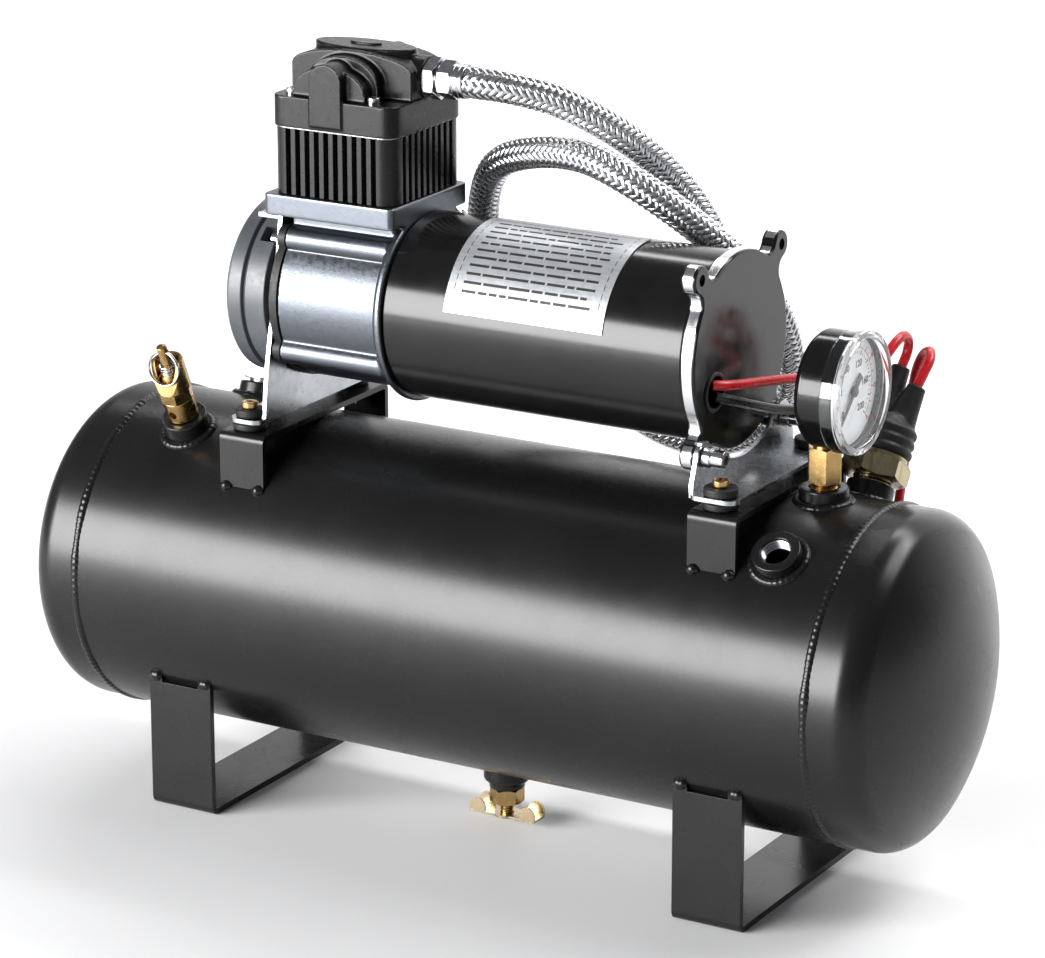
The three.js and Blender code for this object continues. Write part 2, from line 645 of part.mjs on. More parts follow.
function outletNut() {
  const { z, nutLeft, nutRight, nutFlats } = OUTLET;
  return hexX(nutFlats, nutLeft, nutRight, z).add(barX(6.5, nutRight - 1, nutRight + 0.8, 16, 0, z));
}

function hoseFerrule() {
  const { z, nutRight, ferruleFlats, ferruleRight } = OUTLET;
  const left = nutRight + 0.8 + GAP;
  const sleeve = barX(7.9, ferruleRight - 7, ferruleRight, 20, 0, z);
  return hexX(ferruleFlats, left, ferruleRight - 6, z).add(sleeve);
}

add(drive, 'cylinder', cylinder(), FINISH.blackCast, BARREL.x);
add(drive, 'cylinder_head', head(), FINISH.blackCast, BARREL.x);
add(drive, 'front_head_screw', headScrew(), FINISH.steel, BARREL.x + 18.5, -23.5);
add(drive, 'rear_head_screw', headScrew(), FINISH.steel, BARREL.x + 18.5, 23.5);
add(drive, 'outlet_nut', outletNut(), FINISH.steel);
add(drive, 'hose_ferrule', hoseFerrule(), FINISH.steel);

// ---------------------------------------------------------------- motor

function motorTube() {
  const { radius, wall, left, right } = MOTOR;
  return barX(radius, left, right, 40).subtract(barX(radius - wall, left - 1, right + 1, 40));
}

/** The rating label: a thin curved plate with no lettering. */
function motorLabel() {
  const inner = MOTOR.radius + GAP;
  const [start, end] = [LABEL.from, LABEL.to].map((degrees) => radians(90 + degrees));
  const outline = new THREE.Shape();
  outline.absarc(0, 0, inner + LABEL.thickness, start, end);
  outline.absarc(0, 0, inner, end, start, true);
  return extrudeX(outline, LABEL.left, LABEL.right, 12);
}

/** The motor's end plate: a disc with four ears that blend into it through hollow curves. */
function endPlateOutline() {
  const { radius, fillet } = END_PLATE;
  const reach = Math.hypot(EAR.y, EAR.z);
  const hollow = radius + fillet;
  const cosine = (hollow ** 2 + reach ** 2 - (EAR.radius + fillet) ** 2) / (2 * hollow * reach);
  const spread = Math.acos(cosine);
  const first = Math.atan2(EAR.z, EAR.y);
  const ears = [first, Math.PI - first, Math.PI + first, 2 * Math.PI - first];
  const outline = new THREE.Shape();
  ears.forEach((ear, i) => {
    const centre = [reach * Math.cos(ear), reach * Math.sin(ear)];
    const before = [hollow * Math.cos(ear - spread), hollow * Math.sin(ear - spread)];
    const after = [hollow * Math.cos(ear + spread), hollow * Math.sin(ear + spread)];
    const toEar = Math.atan2(centre[1] - before[1], centre[0] - before[0]);
    const fromEar = Math.atan2(centre[1] - after[1], centre[0] - after[0]);
    const next = i === 3 ? ears[0] + 2 * Math.PI : ears[i + 1];
    outline.absarc(...before, fillet, ear - spread + Math.PI, toEar, true);
    outline.absarc(...centre, EAR.radius, toEar + Math.PI, fromEar + Math.PI);
    outline.absarc(...after, fillet, fromEar, ear + spread + Math.PI, true);
    outline.absarc(0, 0, radius, ear + spread, next - spread);
  });
  return outline;
}

function motorEndPlate() {
  const { x, thickness, wireY, wireZ, wireHole } = END_PLATE;
  let plate = extrudeX(endPlateOutline(), x, x + thickness, 3);
  for (const y of [-EAR.y, EAR.y]) {
    for (const z of [-EAR.z, EAR.z]) {
      plate = plate.subtract(barX(EAR.hole, x - 1, x + thickness + 1, 12, y, z));
    }
  }
  return plate.subtract(barX(wireHole, x - 1, x + thickness + 1, 24, wireY, wireZ));
}

add(drive, 'motor_tube', motorTube(), FINISH.gloss);
add(drive, 'motor_label', motorLabel(), FINISH.foil);
add(drive, 'motor_end_plate', motorEndPlate(), FINISH.gloss);

// ---------------------------------------------------------------- moving parts of the pump

/** The motor's armature and commutator on their shaft. */
function motorRotor() {
  const shaftLeft = CRANK.discRight + GAP;
  return barX(CRANK.shaft, shaftLeft, MOTOR.right - 0.5, 16)
    .add(barX(27, -28, 62, 20))
    .add(barX(18, -34, 70, 16))
    .add(barX(11, 70, 92, 14));
}

/** The crank: a hub, a counterweight above the shaft and a pin below it. */
function crank() {
  const left = CRANK.rodX + CRANK.rodThickness / 2 + GAP;
  const pinEnd = CRANK.rodX - CRANK.rodThickness / 2 - 1;
  const weight = new THREE.Shape();
  weight.absarc(0, 0, 26, radians(20), radians(160));
  return barX(12, left, CRANK.discRight, 24)
    .add(extrudeX(weight, left, CRANK.discRight, 8))
    .add(barX(CRANK.pin, pinEnd, left + 1, 16, 0, -CRANK.throw));
}

/** The connecting rod and its piston, one piece, on the crank pin. */
function pistonRod() {
  const [x0, x1] = [CRANK.rodX - CRANK.rodThickness / 2, CRANK.rodX + CRANK.rodThickness / 2];
  const { radius, top, thickness } = PISTON;
  const under = top - thickness;
  return barX(11, x0, x1, 24, 0, -CRANK.throw)
    .add(block(x0 + 1.5, x1 - 1.5, -4.5, 4.5, 0, under + 1))
    .add(barZ(radius, under, top, 24, CRANK.rodX))
    .add(barZ(radius / 2, under - 3, under + 1, 20, CRANK.rodX))
    .subtract(barX(CRANK.pin + GAP, x0 - 1, x1 + 1, 16, 0, -CRANK.throw));
}

add(drive, 'motor_rotor', motorRotor(), FINISH.steel);
add(drive, 'crank', crank(), FINISH.steel);
add(drive, 'piston_rod', pistonRod(), FINISH.castAluminium);

// ---------------------------------------------------------------- pressure gauge

function gaugeStem() {
  const under = GAUGE.z - GAUGE.radius - TANK.topZ - GAP;
  const flats = 14;
  return barZ(5.5, -4, 10, 16).add(hexZ(flats, PORTS.gauge.height + 2.5, under));
}

function gaugeCase() {
  const { left, right, radius, wall } = GAUGE;
  const corners = [[0, left], [radius - 2, left], [radius, left + 2], [radius, right], [0, right]];
  return turnedX(corners, 32)
    .subtract(barX(radius - wall, left + wall, right + 1, 32))
    .subtract(barX(1.7, left + wall - 3, left + wall + 1, 10));
}

/** The clear cover: a cap snapped over the case's rim. */
function gaugeLens() {
  const { right, radius, lensRight } = GAUGE;
  const rim = right - 5.5;
  const face = 1.5;
  const outer = radius + GAP + 1;
  const corners = [[0, rim], [outer, rim], [outer, lensRight - 2], [outer - 2, lensRight], [0, lensRight]];
  return turnedX(corners, 30)
    .subtract(barX(radius + GAP, rim - 1, right + GAP, 30))
    .subtract(barX(radius - 1.5, right, lensRight - face, 30));
}

function gaugeDial() {
  const { dialX, radius, wall } = GAUGE;
  return barX(radius - wall - GAP, dialX, dialX + 0.8, 28).subtract(barX(1.7, dialX - 1, dialX + 2, 12));
}

/** The pointer on its spindle, at zero: a long tip down to the front and a short tail. */
function gaugePointer() {
  const { left, wall, dialX } = GAUGE;
  const needle = new THREE.Shape();
  needle.moveTo(-0.5, 19);
  needle.lineTo(-1.2, 0);
  needle.lineTo(-1.6, -9);
  needle.lineTo(1.6, -9);
  needle.lineTo(1.2, 0);
  needle.lineTo(0.5, 19);
  const blade = surface(extrudeX(needle, dialX + 1.6, dialX + 2.4)).rotateX(radians(135));
  return solid(blade)
    .add(barX(2.6, dialX + 1.3, dialX + 3, 16))
    .add(barX(1.2, left + wall + GAP, dialX + 2, 10));
}

add(ports.gauge, 'gauge_stem', gaugeStem(), FINISH.brass);
add(compressor, 'gauge_case', gaugeCase(), FINISH.gloss, 0, 0, GAUGE.z);
add(compressor, 'gauge_dial', gaugeDial(), FINISH.dial, 0, 0, GAUGE.z);
add(compressor, 'gauge_pointer', gaugePointer(), FINISH.blackSteel, 0, 0, GAUGE.z);
add(compressor, 'gauge_lens', gaugeLens(), FINISH.clear, 0, 0, GAUGE.z);

// ---------------------------------------------------------------- relief valve

const VALVE = {
  lowerRadius: 7.35, flats: 14, upperRadius: 8, seat: 8.3, waist: 19, shoulder: 25, top: 40, well: 28,
  wellRadius: 6, stemRadius: 2.5, ringHole: 1.4, ringAt: 45.5, stemTop: 48.5, ringRadius: 8.2, wire: 0.9,
};

/** The space in front of the leaning valve where its ring hangs, bounded by an upright plane. */
function ringRoom() {
  const behindHole = 1.4;
  const wedge = surface(block(-12, 12, -30, behindHole, -40, 2)).rotateX(radians(-PORTS.relief.lean));
  return solid(wedge.translate(0, 0, VALVE.ringAt));
}

function reliefBody() {
  const { lowerRadius, flats, upperRadius, seat, waist, shoulder, top, well, wellRadius, stemRadius } = VALVE;
  const sideHole = surface(barX(2, -12, 12, 10)).translate(0, 0, seat + 5);
  const crossHole = sideHole.clone().rotateZ(Math.PI / 2);
  return barZ(5.5, -4, seat + 1, 16)
    .add(barZ(lowerRadius, seat, waist + 0.5, 18))
    .add(hexZ(flats, waist, shoulder))
    .add(barZ(upperRadius, shoulder - 0.5, top, 18))
    .subtract(barZ(wellRadius, well, top + 1, 16))
    .subtract(barZ(stemRadius + GAP, 0, top, 12))
    .subtract(solid(sideHole))
    .subtract(solid(crossHole))
    .subtract(ringRoom());
}

/** The valve's stem with its spring cup, drilled across for the pull ring. */
function reliefStem() {
  const { seat, well, wellRadius, stemRadius, ringAt, ringHole, stemTop } = VALVE;
  const corners = [
    [0, seat], [stemRadius, seat], [stemRadius, well + 1], [wellRadius - 1, well + 2],
    [wellRadius - 1.5, well + 4], [stemRadius, well + 8], [stemRadius, stemTop], [0, stemTop],
  ];
  const hole = surface(barX(ringHole, -5, 5, 12)).translate(0, 0, ringAt);
  return turnedZ(corners, 16).subtract(solid(hole));
}

/** The pull ring, hanging down from the centre of the stem's hole. */
function reliefRing() {
  const { ringRadius, wire } = VALVE;
  const ring = new THREE.TorusGeometry(ringRadius, wire, 6, 20);
  return solid(ring.rotateX(Math.PI / 2).translate(0, 0, -ringRadius));
}

const ringHanger = new THREE.Group();
ringHanger.position.z = VALVE.ringAt;
ringHanger.rotation.x = radians(-PORTS.relief.lean);
ports.relief.add(ringHanger);
add(ports.relief, 'relief_valve_body', reliefBody(), FINISH.brass);
add(ports.relief, 'relief_valve_stem', reliefStem(), FINISH.brass);
add(ringHanger, 'relief_valve_ring', reliefRing(), FINISH.steel);

// ---------------------------------------------------------------- drain cock

const DRAIN = {
  seat: PORTS.drain.height + GAP, hexEnd: 20, flats: 14, stemRadius: 3.2, stemStart: 14, webTop: 25.3,
  webBottom: 26.5, armLength: 17.3, armHalfWidth: 5.25, earX: 13.2, earRadius: 4.1, earCentre: 23.4,
  sheet: 1.2,
};

function drainBody() {
  const { seat, hexEnd, flats, stemRadius } = DRAIN;
  return barZ(5.5, 2, seat + 1, 16)
    .add(hexZ(flats, seat, hexEnd))
    .subtract(barZ(stemRadius + GAP, 6, hexEnd + 1, 12));
}

/** The folded butterfly handle: a web with two round ears at each end. */
function drainHandle() {
  const { webTop, webBottom, armLength, armHalfWidth, earX, earRadius, earCentre, sheet, stemRadius } = DRAIN;
  let handle = block(-armLength, armLength, -armHalfWidth, armHalfWidth, webTop, webBottom)
    .add(barZ(6.5, webTop, webBottom, 24));
  for (const x of [-earX, earX]) {
    for (const side of [-1, 1]) {
      const ear = new THREE.Shape();
      ear.absarc(x, earCentre, earRadius, Math.PI, 2 * Math.PI);
      ear.lineTo(x + earRadius, webBottom);
      ear.lineTo(x - earRadius, webBottom);
      const faces = [side * armHalfWidth, side * (armHalfWidth - sheet)].sort((a, b) => a - b);
      handle = handle.add(extrudeY(ear, ...faces, 6));
    }
  }
  return handle.subtract(barZ(stemRadius + GAP, webTop - 1, webBottom + 1, 16));
}

add(ports.drain, 'drain_cock_body', drainBody(), FINISH.brass);
const drainStem = barZ(DRAIN.stemRadius, DRAIN.stemStart, DRAIN.webBottom, 16);
add(ports.drain, 'drain_cock_stem', drainStem, FINISH.brass);
add(ports.drain, 'drain_cock_handle', drainHandle(), FINISH.zinc);

// ---------------------------------------------------------------- pressure switch

/** A tapered round piece between two points. */
function taper(from, to, startRadius, endRadius, sides) {
  const start = new THREE.Vector3(...from);
  const end = new THREE.Vector3(...to);
  const axis = end.clone().sub(start);
  const cone = new THREE.CylinderGeometry(endRadius, startRadius, axis.length(), sides);
  const upright = new THREE.Vector3(0, 1, 0);
  const turn = new THREE.Quaternion().setFromUnitVectors(upright, axis.clone().normalize());
  cone.applyQuaternion(turn);
  return solid(cone.translate(...start.add(end).multiplyScalar(0.5).toArray()));
}

const OUTLETS = [
  { from: [-4.6, 0, BOOT.top - 2], to: [-1, 0, 64] },
  { from: [5, 0, BOOT.top - 2], to: [9, 0, 56] },
];

function switchBody() {
  const { height } = PORTS.switch;
  return barZ(5.5, -4, height + 1, 16)
    .add(barZ(9, height + GAP, height + 3, 24))
    .add(hexZ(27, height + 2.5, 20))
    .add(barZ(12.8, 19.5, BOOT.bottom - GAP, 24));
}

/** The rubber boot: a ribbed cup that narrows into two wire outlets. */
function switchBoot() {
  const { bottom, top, radius, tipRadius } = BOOT;
  const ribs = 3;
  const pitch = (top - bottom - 2) / ribs;
  const corners = [[0, bottom], [radius - 1.2, bottom]];
  for (let i = 0; i < ribs; i += 1) {
    const z = bottom + i * pitch;
    corners.push([radius, z + pitch * 0.3], [radius, z + pitch * 0.7], [radius - 1.2, z + pitch]);
  }
  corners.push([radius - 3.5, top + 2], [0, top + 4]);
  let boot = turnedZ(corners, 18);
  for (const { from, to } of OUTLETS) boot = boot.add(taper(from, to, 8, tipRadius, 12));
  return boot;
}

add(ports.switch, 'pressure_switch', switchBody(), FINISH.bronze);
add(ports.switch, 'pressure_switch_boot', switchBoot(), FINISH.rubber);

// ---------------------------------------------------------------- air hose

/** The fitting that the hose screws down onto the tank. */
function inletFitting() {
  const { height } = PORTS.inlet;
  const hexEnd = 17;
  return barZ(5.5, -4, height + 1, 16)
    .add(hexZ(19, height + GAP + 1.5, hexEnd))
    .add(barZ(7, height + GAP, height + 3, 16))
    .add(barZ(8.3, hexEnd - 1, 26, 20));
}

/** The braided hose from the head, once round behind the motor and back to the tank. */
const HOSE_ROUTE = [
  [-18.6, 0, 348.5], [-12.6, 0, 348.4], [-1, 3.4, 347.2], [15, 14, 342], [29, 26, 333], [42, 39, 321],
  [52, 51, 308],
  [62, 61, 291], [70, 69, 270], [73, 75, 246], [68, 79, 221], [53, 80, 200], [30, 77, 188],
  [5, 72, 190], [-17, 66, 206], [-33, 61, 228], [-41, 55, 254], [-39, 46, 280], [-25, 34, 303],
  [1, 24, 314], [29, 19, 316], [52, 19.5, 308], [78, 32, 288], [95, 51, 265],
  [102, 68, 241], [101, 83, 215], [90, 95, 190], [69, 101, 172], [42, 101, 166], [15, 97, 175],
  [-9, 91, 197], [-28, 84, 226], [-46, 77, 252], [-72, 71, 264], [-100, 65, 259], [-124, 58.5, 243],
  [-143.5, 53, 224], [-152, 47.5, 213.5], [-154, 43.5, 206.3], [-154, 40.99, 200.48],
];

add(ports.inlet, 'inlet_fitting', inletFitting(), FINISH.blackSteel);
add(compressor, 'air_hose', tube(HOSE_ROUTE, HOSE_DIAMETER, 8, 1), FINISH.braid);

// ---------------------------------------------------------------- wiring

/** The motor's positive wire: out of the end plate, past the gauge and over into the switch. */
const SWITCH_WIRE_ROUTE = [
  [117.5, -25, 234], [121, -21.5, 233.6], [125, -10, 232], [127, -1, 230.9], [130, 10, 229.5],
  [135, 27, 227], [143, 42, 224.5],
  [151, 51, 225], [157, 56, 228.5], [160.5, 60.5, 234], [162, 67, 238.5], [162, 74.5, 239], [161.4, 80, 235],
  [160.8, 80.2, 229.6], [160.04, 76.6, 224.1],
];

/** The positive lead: out of the switch, down behind the tank and along the floor. */
const POSITIVE_ROUTE = [
  [170.07, 72.16, 217.3], [171.5, 75.8, 222.9], [172, 80.5, 227.6], [169.5, 85.8, 230], [164.5, 89.7, 227],
  [160.5, 91.5, 219], [158.5, 91.6, 206], [157.5, 90.5, 188], [156, 88, 164], [154, 84.5, 135],
  [152, 82.5, 106],
  [151, 83, 75], [150, 85, 47], [145, 87.5, 23], [133, 89.5, 8], [116, 90, 3.1], [90, 90, 3], [60, 89.5, 3],
  [30, 88.5, 3], [0, 88, 3], [-30, 88.5, 3], [-60, 89, 3], [-90, 89, 3],
];

/** The negative lead: out of the end plate, past the switch, down and along the floor. */
const NEGATIVE_ROUTE = [
  [117.7, -23, 228.4], [121.5, -18, 226.4], [126, -6, 222], [130, 10, 216.5], [134, 30, 211.5],
  [137, 50, 206.5], [139.5, 67, 197], [141, 79, 180], [141.5, 84.5, 158], [141, 85.5, 132], [140, 84.5, 106],
  [138.5, 86, 78], [136, 89, 50], [130, 92.5, 25], [117, 95.5, 9], [98, 97, 3.2], [70, 97.5, 3], [40, 97, 3],
  [10, 96, 3], [-20, 96, 3], [-50, 97, 3], [-80, 98, 3], [-110, 98.5, 3],
];

/** A crimped ring terminal lying flat, its barrel facing +X. */
function ringTerminal() {
  const barrel = barX(2.8, -12, 0, 12).subtract(barX(1.6, -3, 1, 10));
  const ring = barZ(5.2, -0.5, 0.5, 20, -16.5).subtract(barZ(2.65, -1, 1, 16, -16.5));
  return barrel.add(block(-13, -10, -2.6, 2.6, -0.5, 0.5)).add(ring);
}

function addTerminal(name, route) {
  const [x, y, z] = route.at(-1);
  add(compressor, name, ringTerminal(), FINISH.steel, x - GAP, y, z);
}

add(compressor, 'switch_wire', tube(SWITCH_WIRE_ROUTE, WIRE_DIAMETER, 8, 1), FINISH.redWire);
add(compressor, 'positive_lead', tube(POSITIVE_ROUTE, WIRE_DIAMETER, 8, 1.4), FINISH.redWire);
add(compressor, 'negative_lead', tube(NEGATIVE_ROUTE, WIRE_DIAMETER, 8, 1.6), FINISH.blackWire);
addTerminal('positive_terminal', POSITIVE_ROUTE);
addTerminal('negative_terminal', NEGATIVE_ROUTE);

export default compressor;
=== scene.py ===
import math
import random

import bmesh
import bpy
from mathutils import Matrix, Vector, noise


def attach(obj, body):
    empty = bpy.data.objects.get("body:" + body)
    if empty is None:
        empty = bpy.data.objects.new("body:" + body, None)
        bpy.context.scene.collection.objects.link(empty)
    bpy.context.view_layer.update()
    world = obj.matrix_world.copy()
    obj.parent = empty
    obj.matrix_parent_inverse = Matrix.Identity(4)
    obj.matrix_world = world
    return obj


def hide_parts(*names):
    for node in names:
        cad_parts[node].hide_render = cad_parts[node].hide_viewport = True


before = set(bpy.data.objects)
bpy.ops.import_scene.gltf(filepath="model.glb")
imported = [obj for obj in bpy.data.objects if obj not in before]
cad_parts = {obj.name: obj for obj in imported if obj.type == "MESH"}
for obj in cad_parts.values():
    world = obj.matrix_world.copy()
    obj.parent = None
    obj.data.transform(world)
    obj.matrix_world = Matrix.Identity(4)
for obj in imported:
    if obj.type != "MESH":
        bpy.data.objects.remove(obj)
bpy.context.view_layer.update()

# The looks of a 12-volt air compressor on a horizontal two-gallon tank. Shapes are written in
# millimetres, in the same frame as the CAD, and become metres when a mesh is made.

MM = 0.001

# ---------------------------------------------------------------- driving dimensions, in mm

TANK = {"radius": 76.2, "wall": 2.8, "axis": 106.2, "weld": 189, "flange": 13, "knuckle": 15, "crown": 145.5}
PORTS = {  # (x, lean in degrees towards the front, height above the skin)
    "relief": (-154, 24, 8),
    "inlet": (-154, -23.5, 6),
    "service": (161, 36, 6),
    "gauge": (160, 0, 6),
    "switch": (161, -33, 8),
    "drain": (0, 180, 12.5),
}
PIPE = {"bore": 6.6, "shank": 5.5, "pitch": 1.41, "hex": 14}  # quarter-inch fittings
BOSS = {"radius": 11, "neck": 8.4, "below": -3}
LEG = {"x": 138.5, "width": 34, "half": 65, "thick": 3, "bend": 5, "notch": 10, "notch_z": 62}
STRAP = {"width": 23.4, "half": 54, "thick": 2.6, "bend": 4, "top": 185.7, "bolt": 43.5}
AXIS = 244.4  # the crank's height
FOOT = {"z": 189.5, "thick": 2, "half": 50.5, "corner": 6, "hole": 5}
LEFT = {
    "strap": -108.8, "x": -103.5, "foot": -118.5, "isolator": -110.5, "top": 283.5, "tab": -114.5, "opening": 31,
}
RIGHT = {"strap": 133, "x": 118.8, "foot": 142, "isolator": 132, "arc": 47.5, "lobe": 7}
CAP_SCREW = {"y": 25.5, "z": 27}
EAR = {"y": 37.5, "z": 39, "radius": 6.3, "hole": 2.6}
MOTOR = {"radius": 42.5, "wall": 3, "left": -39.5, "right": 111}
LABEL = {"left": -8, "right": 72, "low": 86, "high": 167}  # its corners in X and in degrees round the motor
PLATE = {"x": 111.3, "thick": 7.2, "radius": 44, "fillet": 6, "wire_y": -25, "wire_z": -13.4, "wire_hole": 9}
CASE = {"left": -97, "right": -43.5, "radius": 40, "ring": 45, "rib": 6, "rib_at": 39.5, "hollow": 33}
RIB_ANGLES = (47, -34, 133, 214)
DECK = {"left": -108.5, "right": -39.8, "half": 33, "bottom": 39.8, "top": 49.8}
BARREL = {"x": -73, "length": 32, "width": 31, "corner": 8, "top": 80.6, "fin": 4.4, "pitch": 5, "bore": 23.6}
HEAD = {"bottom": 80.9, "slab": 95.1, "length": 32.7, "width": 31}
LOBES = (  # round-topped walls on both flanks: x0, x1, shoulder, top, outer y, inner y
    (-83.6, -66.8, 104, 111.6, 32, 18),
    (-95, -57.5, 98, 109.2, 27, 18),
    (-92, -55, 101.5, 113.4, 20, 10),
)
OUTLET = {"z": 104.1, "left": -39, "nut": 17, "ferrule": 15.5, "sleeve": 7.9}
CAP = {
    "left": -125, "step": -115.3, "right": -104, "radius": 41.5, "neck": 40.5, "groove": 39.5, "inside": 34.5,
}
GAUGE = {"z": 233, "left": 155.5, "right": 175, "radius": 26, "lens": 178.5, "dial": 172.3}
VALVE = {"seat": 8.3, "lower": 7.35, "upper": 8, "top": 40, "stem": 2.5, "ring_at": 45.5, "ring": 8.2}
HANDLE = {"half": 17.3, "width": 5.25, "low": 25.3, "high": 26.5, "ear_x": 13.2, "ear_z": 23.4, "ear": 4.1}
BOOT = {"bottom": 22.3, "top": 38, "radius": 14.2, "ribs": 3}
TERMINAL = {"x": -16.5, "ring": 5.2, "hole": 2.65, "half": 0.5}
HOSE_DIAMETER = 14.5
WIRE_DIAMETER = 4.5
GAP = 0.3
BORE_SIDES = 96
DENSE = 60000  # a mesh with more faces than this is smooth enough already

# ---------------------------------------------------------------- cord routes, in metres

HOSE_ROUTE = [
    (-.0186, 0, .3485), (-.0126, 0, .3484), (-.001, .0034, .3472), (.015, .014, .342), (.029, .026, .333),
    (.042, .039, .321), (.052, .051, .308), (.062, .061, .291), (.070, .069, .270), (.073, .075, .246),
    (.068, .079, .221), (.053, .080, .200), (.030, .077, .188), (.005, .072, .190), (-.017, .066, .206),
    (-.033, .061, .228), (-.041, .055, .254), (-.039, .046, .280), (-.025, .034, .303), (.001, .024, .314),
    (.029, .019, .316), (.052, .0195, .308), (.078, .032, .288), (.095, .051, .265), (.102, .068, .241),
    (.101, .083, .215), (.090, .095, .190), (.069, .101, .172), (.042, .101, .166), (.015, .097, .175),
    (-.009, .091, .197), (-.028, .084, .226), (-.046, .077, .252), (-.072, .071, .264), (-.100, .065, .259),
    (-.124, .0585, .243), (-.1435, .053, .224), (-.152, .0475, .2135), (-.154, .0435, .2063),
    (-.154, .04099, .20048),
]
SWITCH_WIRE_ROUTE = [
    (.1175, -.025, .234), (.121, -.0215, .2336), (.125, -.010, .232), (.127, -.001, .2309),
    (.130, .010, .2295), (.135, .027, .227), (.143, .042, .2245), (.151, .051, .225), (.157, .056, .2285),
    (.1605, .0605, .234), (.162, .067, .2385), (.162, .0745, .239), (.1614, .080, .235),
    (.1608, .0802, .2296), (.16004, .0766, .2241),
]
POSITIVE_ROUTE = [
    (.17007, .07216, .2173), (.1715, .0758, .2229), (.172, .0805, .2276), (.1695, .0858, .230),
    (.1645, .0897, .227), (.1605, .0915, .219), (.1585, .0916, .206), (.1575, .0905, .188),
    (.156, .088, .164), (.154, .0845, .135), (.152, .0825, .106), (.151, .083, .075), (.150, .085, .047),
    (.145, .0875, .023), (.133, .0895, .008), (.116, .090, .0031), (.090, .090, .003), (.060, .0895, .003),
    (.030, .0885, .003), (0, .088, .003), (-.030, .0885, .003), (-.060, .089, .003), (-.090, .089, .003),
]
NEGATIVE_ROUTE = [
    (.1177, -.023, .2284), (.1215, -.018, .2264), (.126, -.006, .222), (.130, .010, .2165),
    (.134, .030, .2115), (.137, .050, .2065), (.1395, .067, .197), (.141, .079, .180), (.1415, .0845, .158),
    (.141, .0855, .132), (.140, .0845, .106), (.1385, .086, .078), (.136, .089, .050), (.130, .0925, .025),
    (.117, .0955, .009), (.098, .097, .0032), (.070, .0975, .003), (.040, .097, .003), (.010, .096, .003),
    (-.020, .096, .003), (-.050, .097, .003), (-.080, .098, .003), (-.110, .0985, .003),
]

# ---------------------------------------------------------------- camera


def make_camera():
    azimuth, elevation = math.radians(30.16), math.radians(17.14)
    target, distance = Vector((0.0082, 0, 0.1681)), 1.8937
    back = Vector((
        math.sin(azimuth) * math.cos(elevation),
        -math.cos(azimuth) * math.cos(elevation),
        math.sin(elevation),
    ))
    data = bpy.data.cameras.new("camera")
    data.sensor_width = 36
    data.lens = 143.75
    camera = bpy.data.objects.new("camera", data)
    camera.location = target + back * distance
    camera.rotation_mode = "QUATERNION"
    camera.rotation_quaternion = (-back).to_track_quat("-Z", "Y")
    bpy.context.scene.collection.objects.link(camera)
    bpy.context.scene.camera = camera


make_camera()

# ---------------------------------------------------------------- materials


class Shader:
    """A principled material, with short calls for the nodes that give it its detail."""

    def __init__(self, name, slot, color, roughness, metallic=0.0, **sockets):
        self.material = bpy.data.materials.new(name)
        self.material.use_nodes = True
        self.nodes = self.material.node_tree.nodes
        self.links = self.material.node_tree.links
        self.bsdf = self.nodes["Principled BSDF"]
        self.bsdf.inputs["Base Color"].default_value = (*color, 1)
        self.bsdf.inputs["Roughness"].default_value = roughness
        self.bsdf.inputs["Metallic"].default_value = metallic
        for socket, value in sockets.items():
            self.bsdf.inputs[socket.replace("_", " ")].default_value = value
        self.normal = None

    def node(self, kind, **inputs):
        made = self.nodes.new(kind)
        for key, value in inputs.items():
            if isinstance(value, bpy.types.NodeSocket):
                self.links.new(value, made.inputs[key])
            else:
                made.inputs[key].default_value = value
        return made

    def arithmetic(self, operation, value, other):
        made = self.node("ShaderNodeMath")
        made.operation = operation
        self.links.new(value, made.inputs[0])
        made.inputs[1].default_value = other
        return made.outputs[0]

    def grain(self, size, detail=3.0, stretch=(1, 1, 1)):
        """A noise from 0 to 1 whose blotches are about size millimetres across, on the object itself."""
        where = self.nodes.new("ShaderNodeTexCoord").outputs["Object"]
        place = self.node("ShaderNodeMapping", Vector=where, Scale=stretch).outputs[0]
        scale = 1 / (size * MM)
        return self.node("ShaderNodeTexNoise", Vector=place, Scale=scale, Detail=detail).outputs["Fac"]

    def ranged(self, value, low, high, start, end):
        made = self.node("ShaderNodeMapRange", Value=value)
        for index, number in enumerate((start, end, low, high), 1):
            made.inputs[index].default_value = number
        return made.outputs[0]

    def roughness(self, low, high, size, detail):
        rough = self.ranged(self.grain(size, detail), low, high, 0.3, 0.7)
        self.links.new(rough, self.bsdf.inputs["Roughness"])

    def tint(self, value, dark, light, start=0.3, end=0.7):
        mixed = self.nodes.new("ShaderNodeMix")
        mixed.data_type = "RGBA"
        self.links.new(self.ranged(value, 0, 1, start, end), mixed.inputs["Factor"])
        mixed.inputs["A"].default_value = (*dark, 1)
        mixed.inputs["B"].default_value = (*light, 1)
        self.links.new(mixed.outputs["Result"], self.bsdf.inputs["Base Color"])

    def bump(self, value, height):
        """Raises the surface by up to height millimetres where value is 1. Calls add up."""
        made = self.node("ShaderNodeBump", Height=value, Strength=1, Distance=height * MM)
        if self.normal is not None:
            self.links.new(self.normal, made.inputs["Normal"])
        self.normal = made.outputs["Normal"]
        self.links.new(self.normal, self.bsdf.inputs["Normal"])

    def edges(self):
        """Near 1 on outward edges and 0 elsewhere."""
        pointiness = self.nodes.new("ShaderNodeNewGeometry").outputs["Pointiness"]
        return self.ranged(pointiness, 0, 1, 0.51, 0.6)


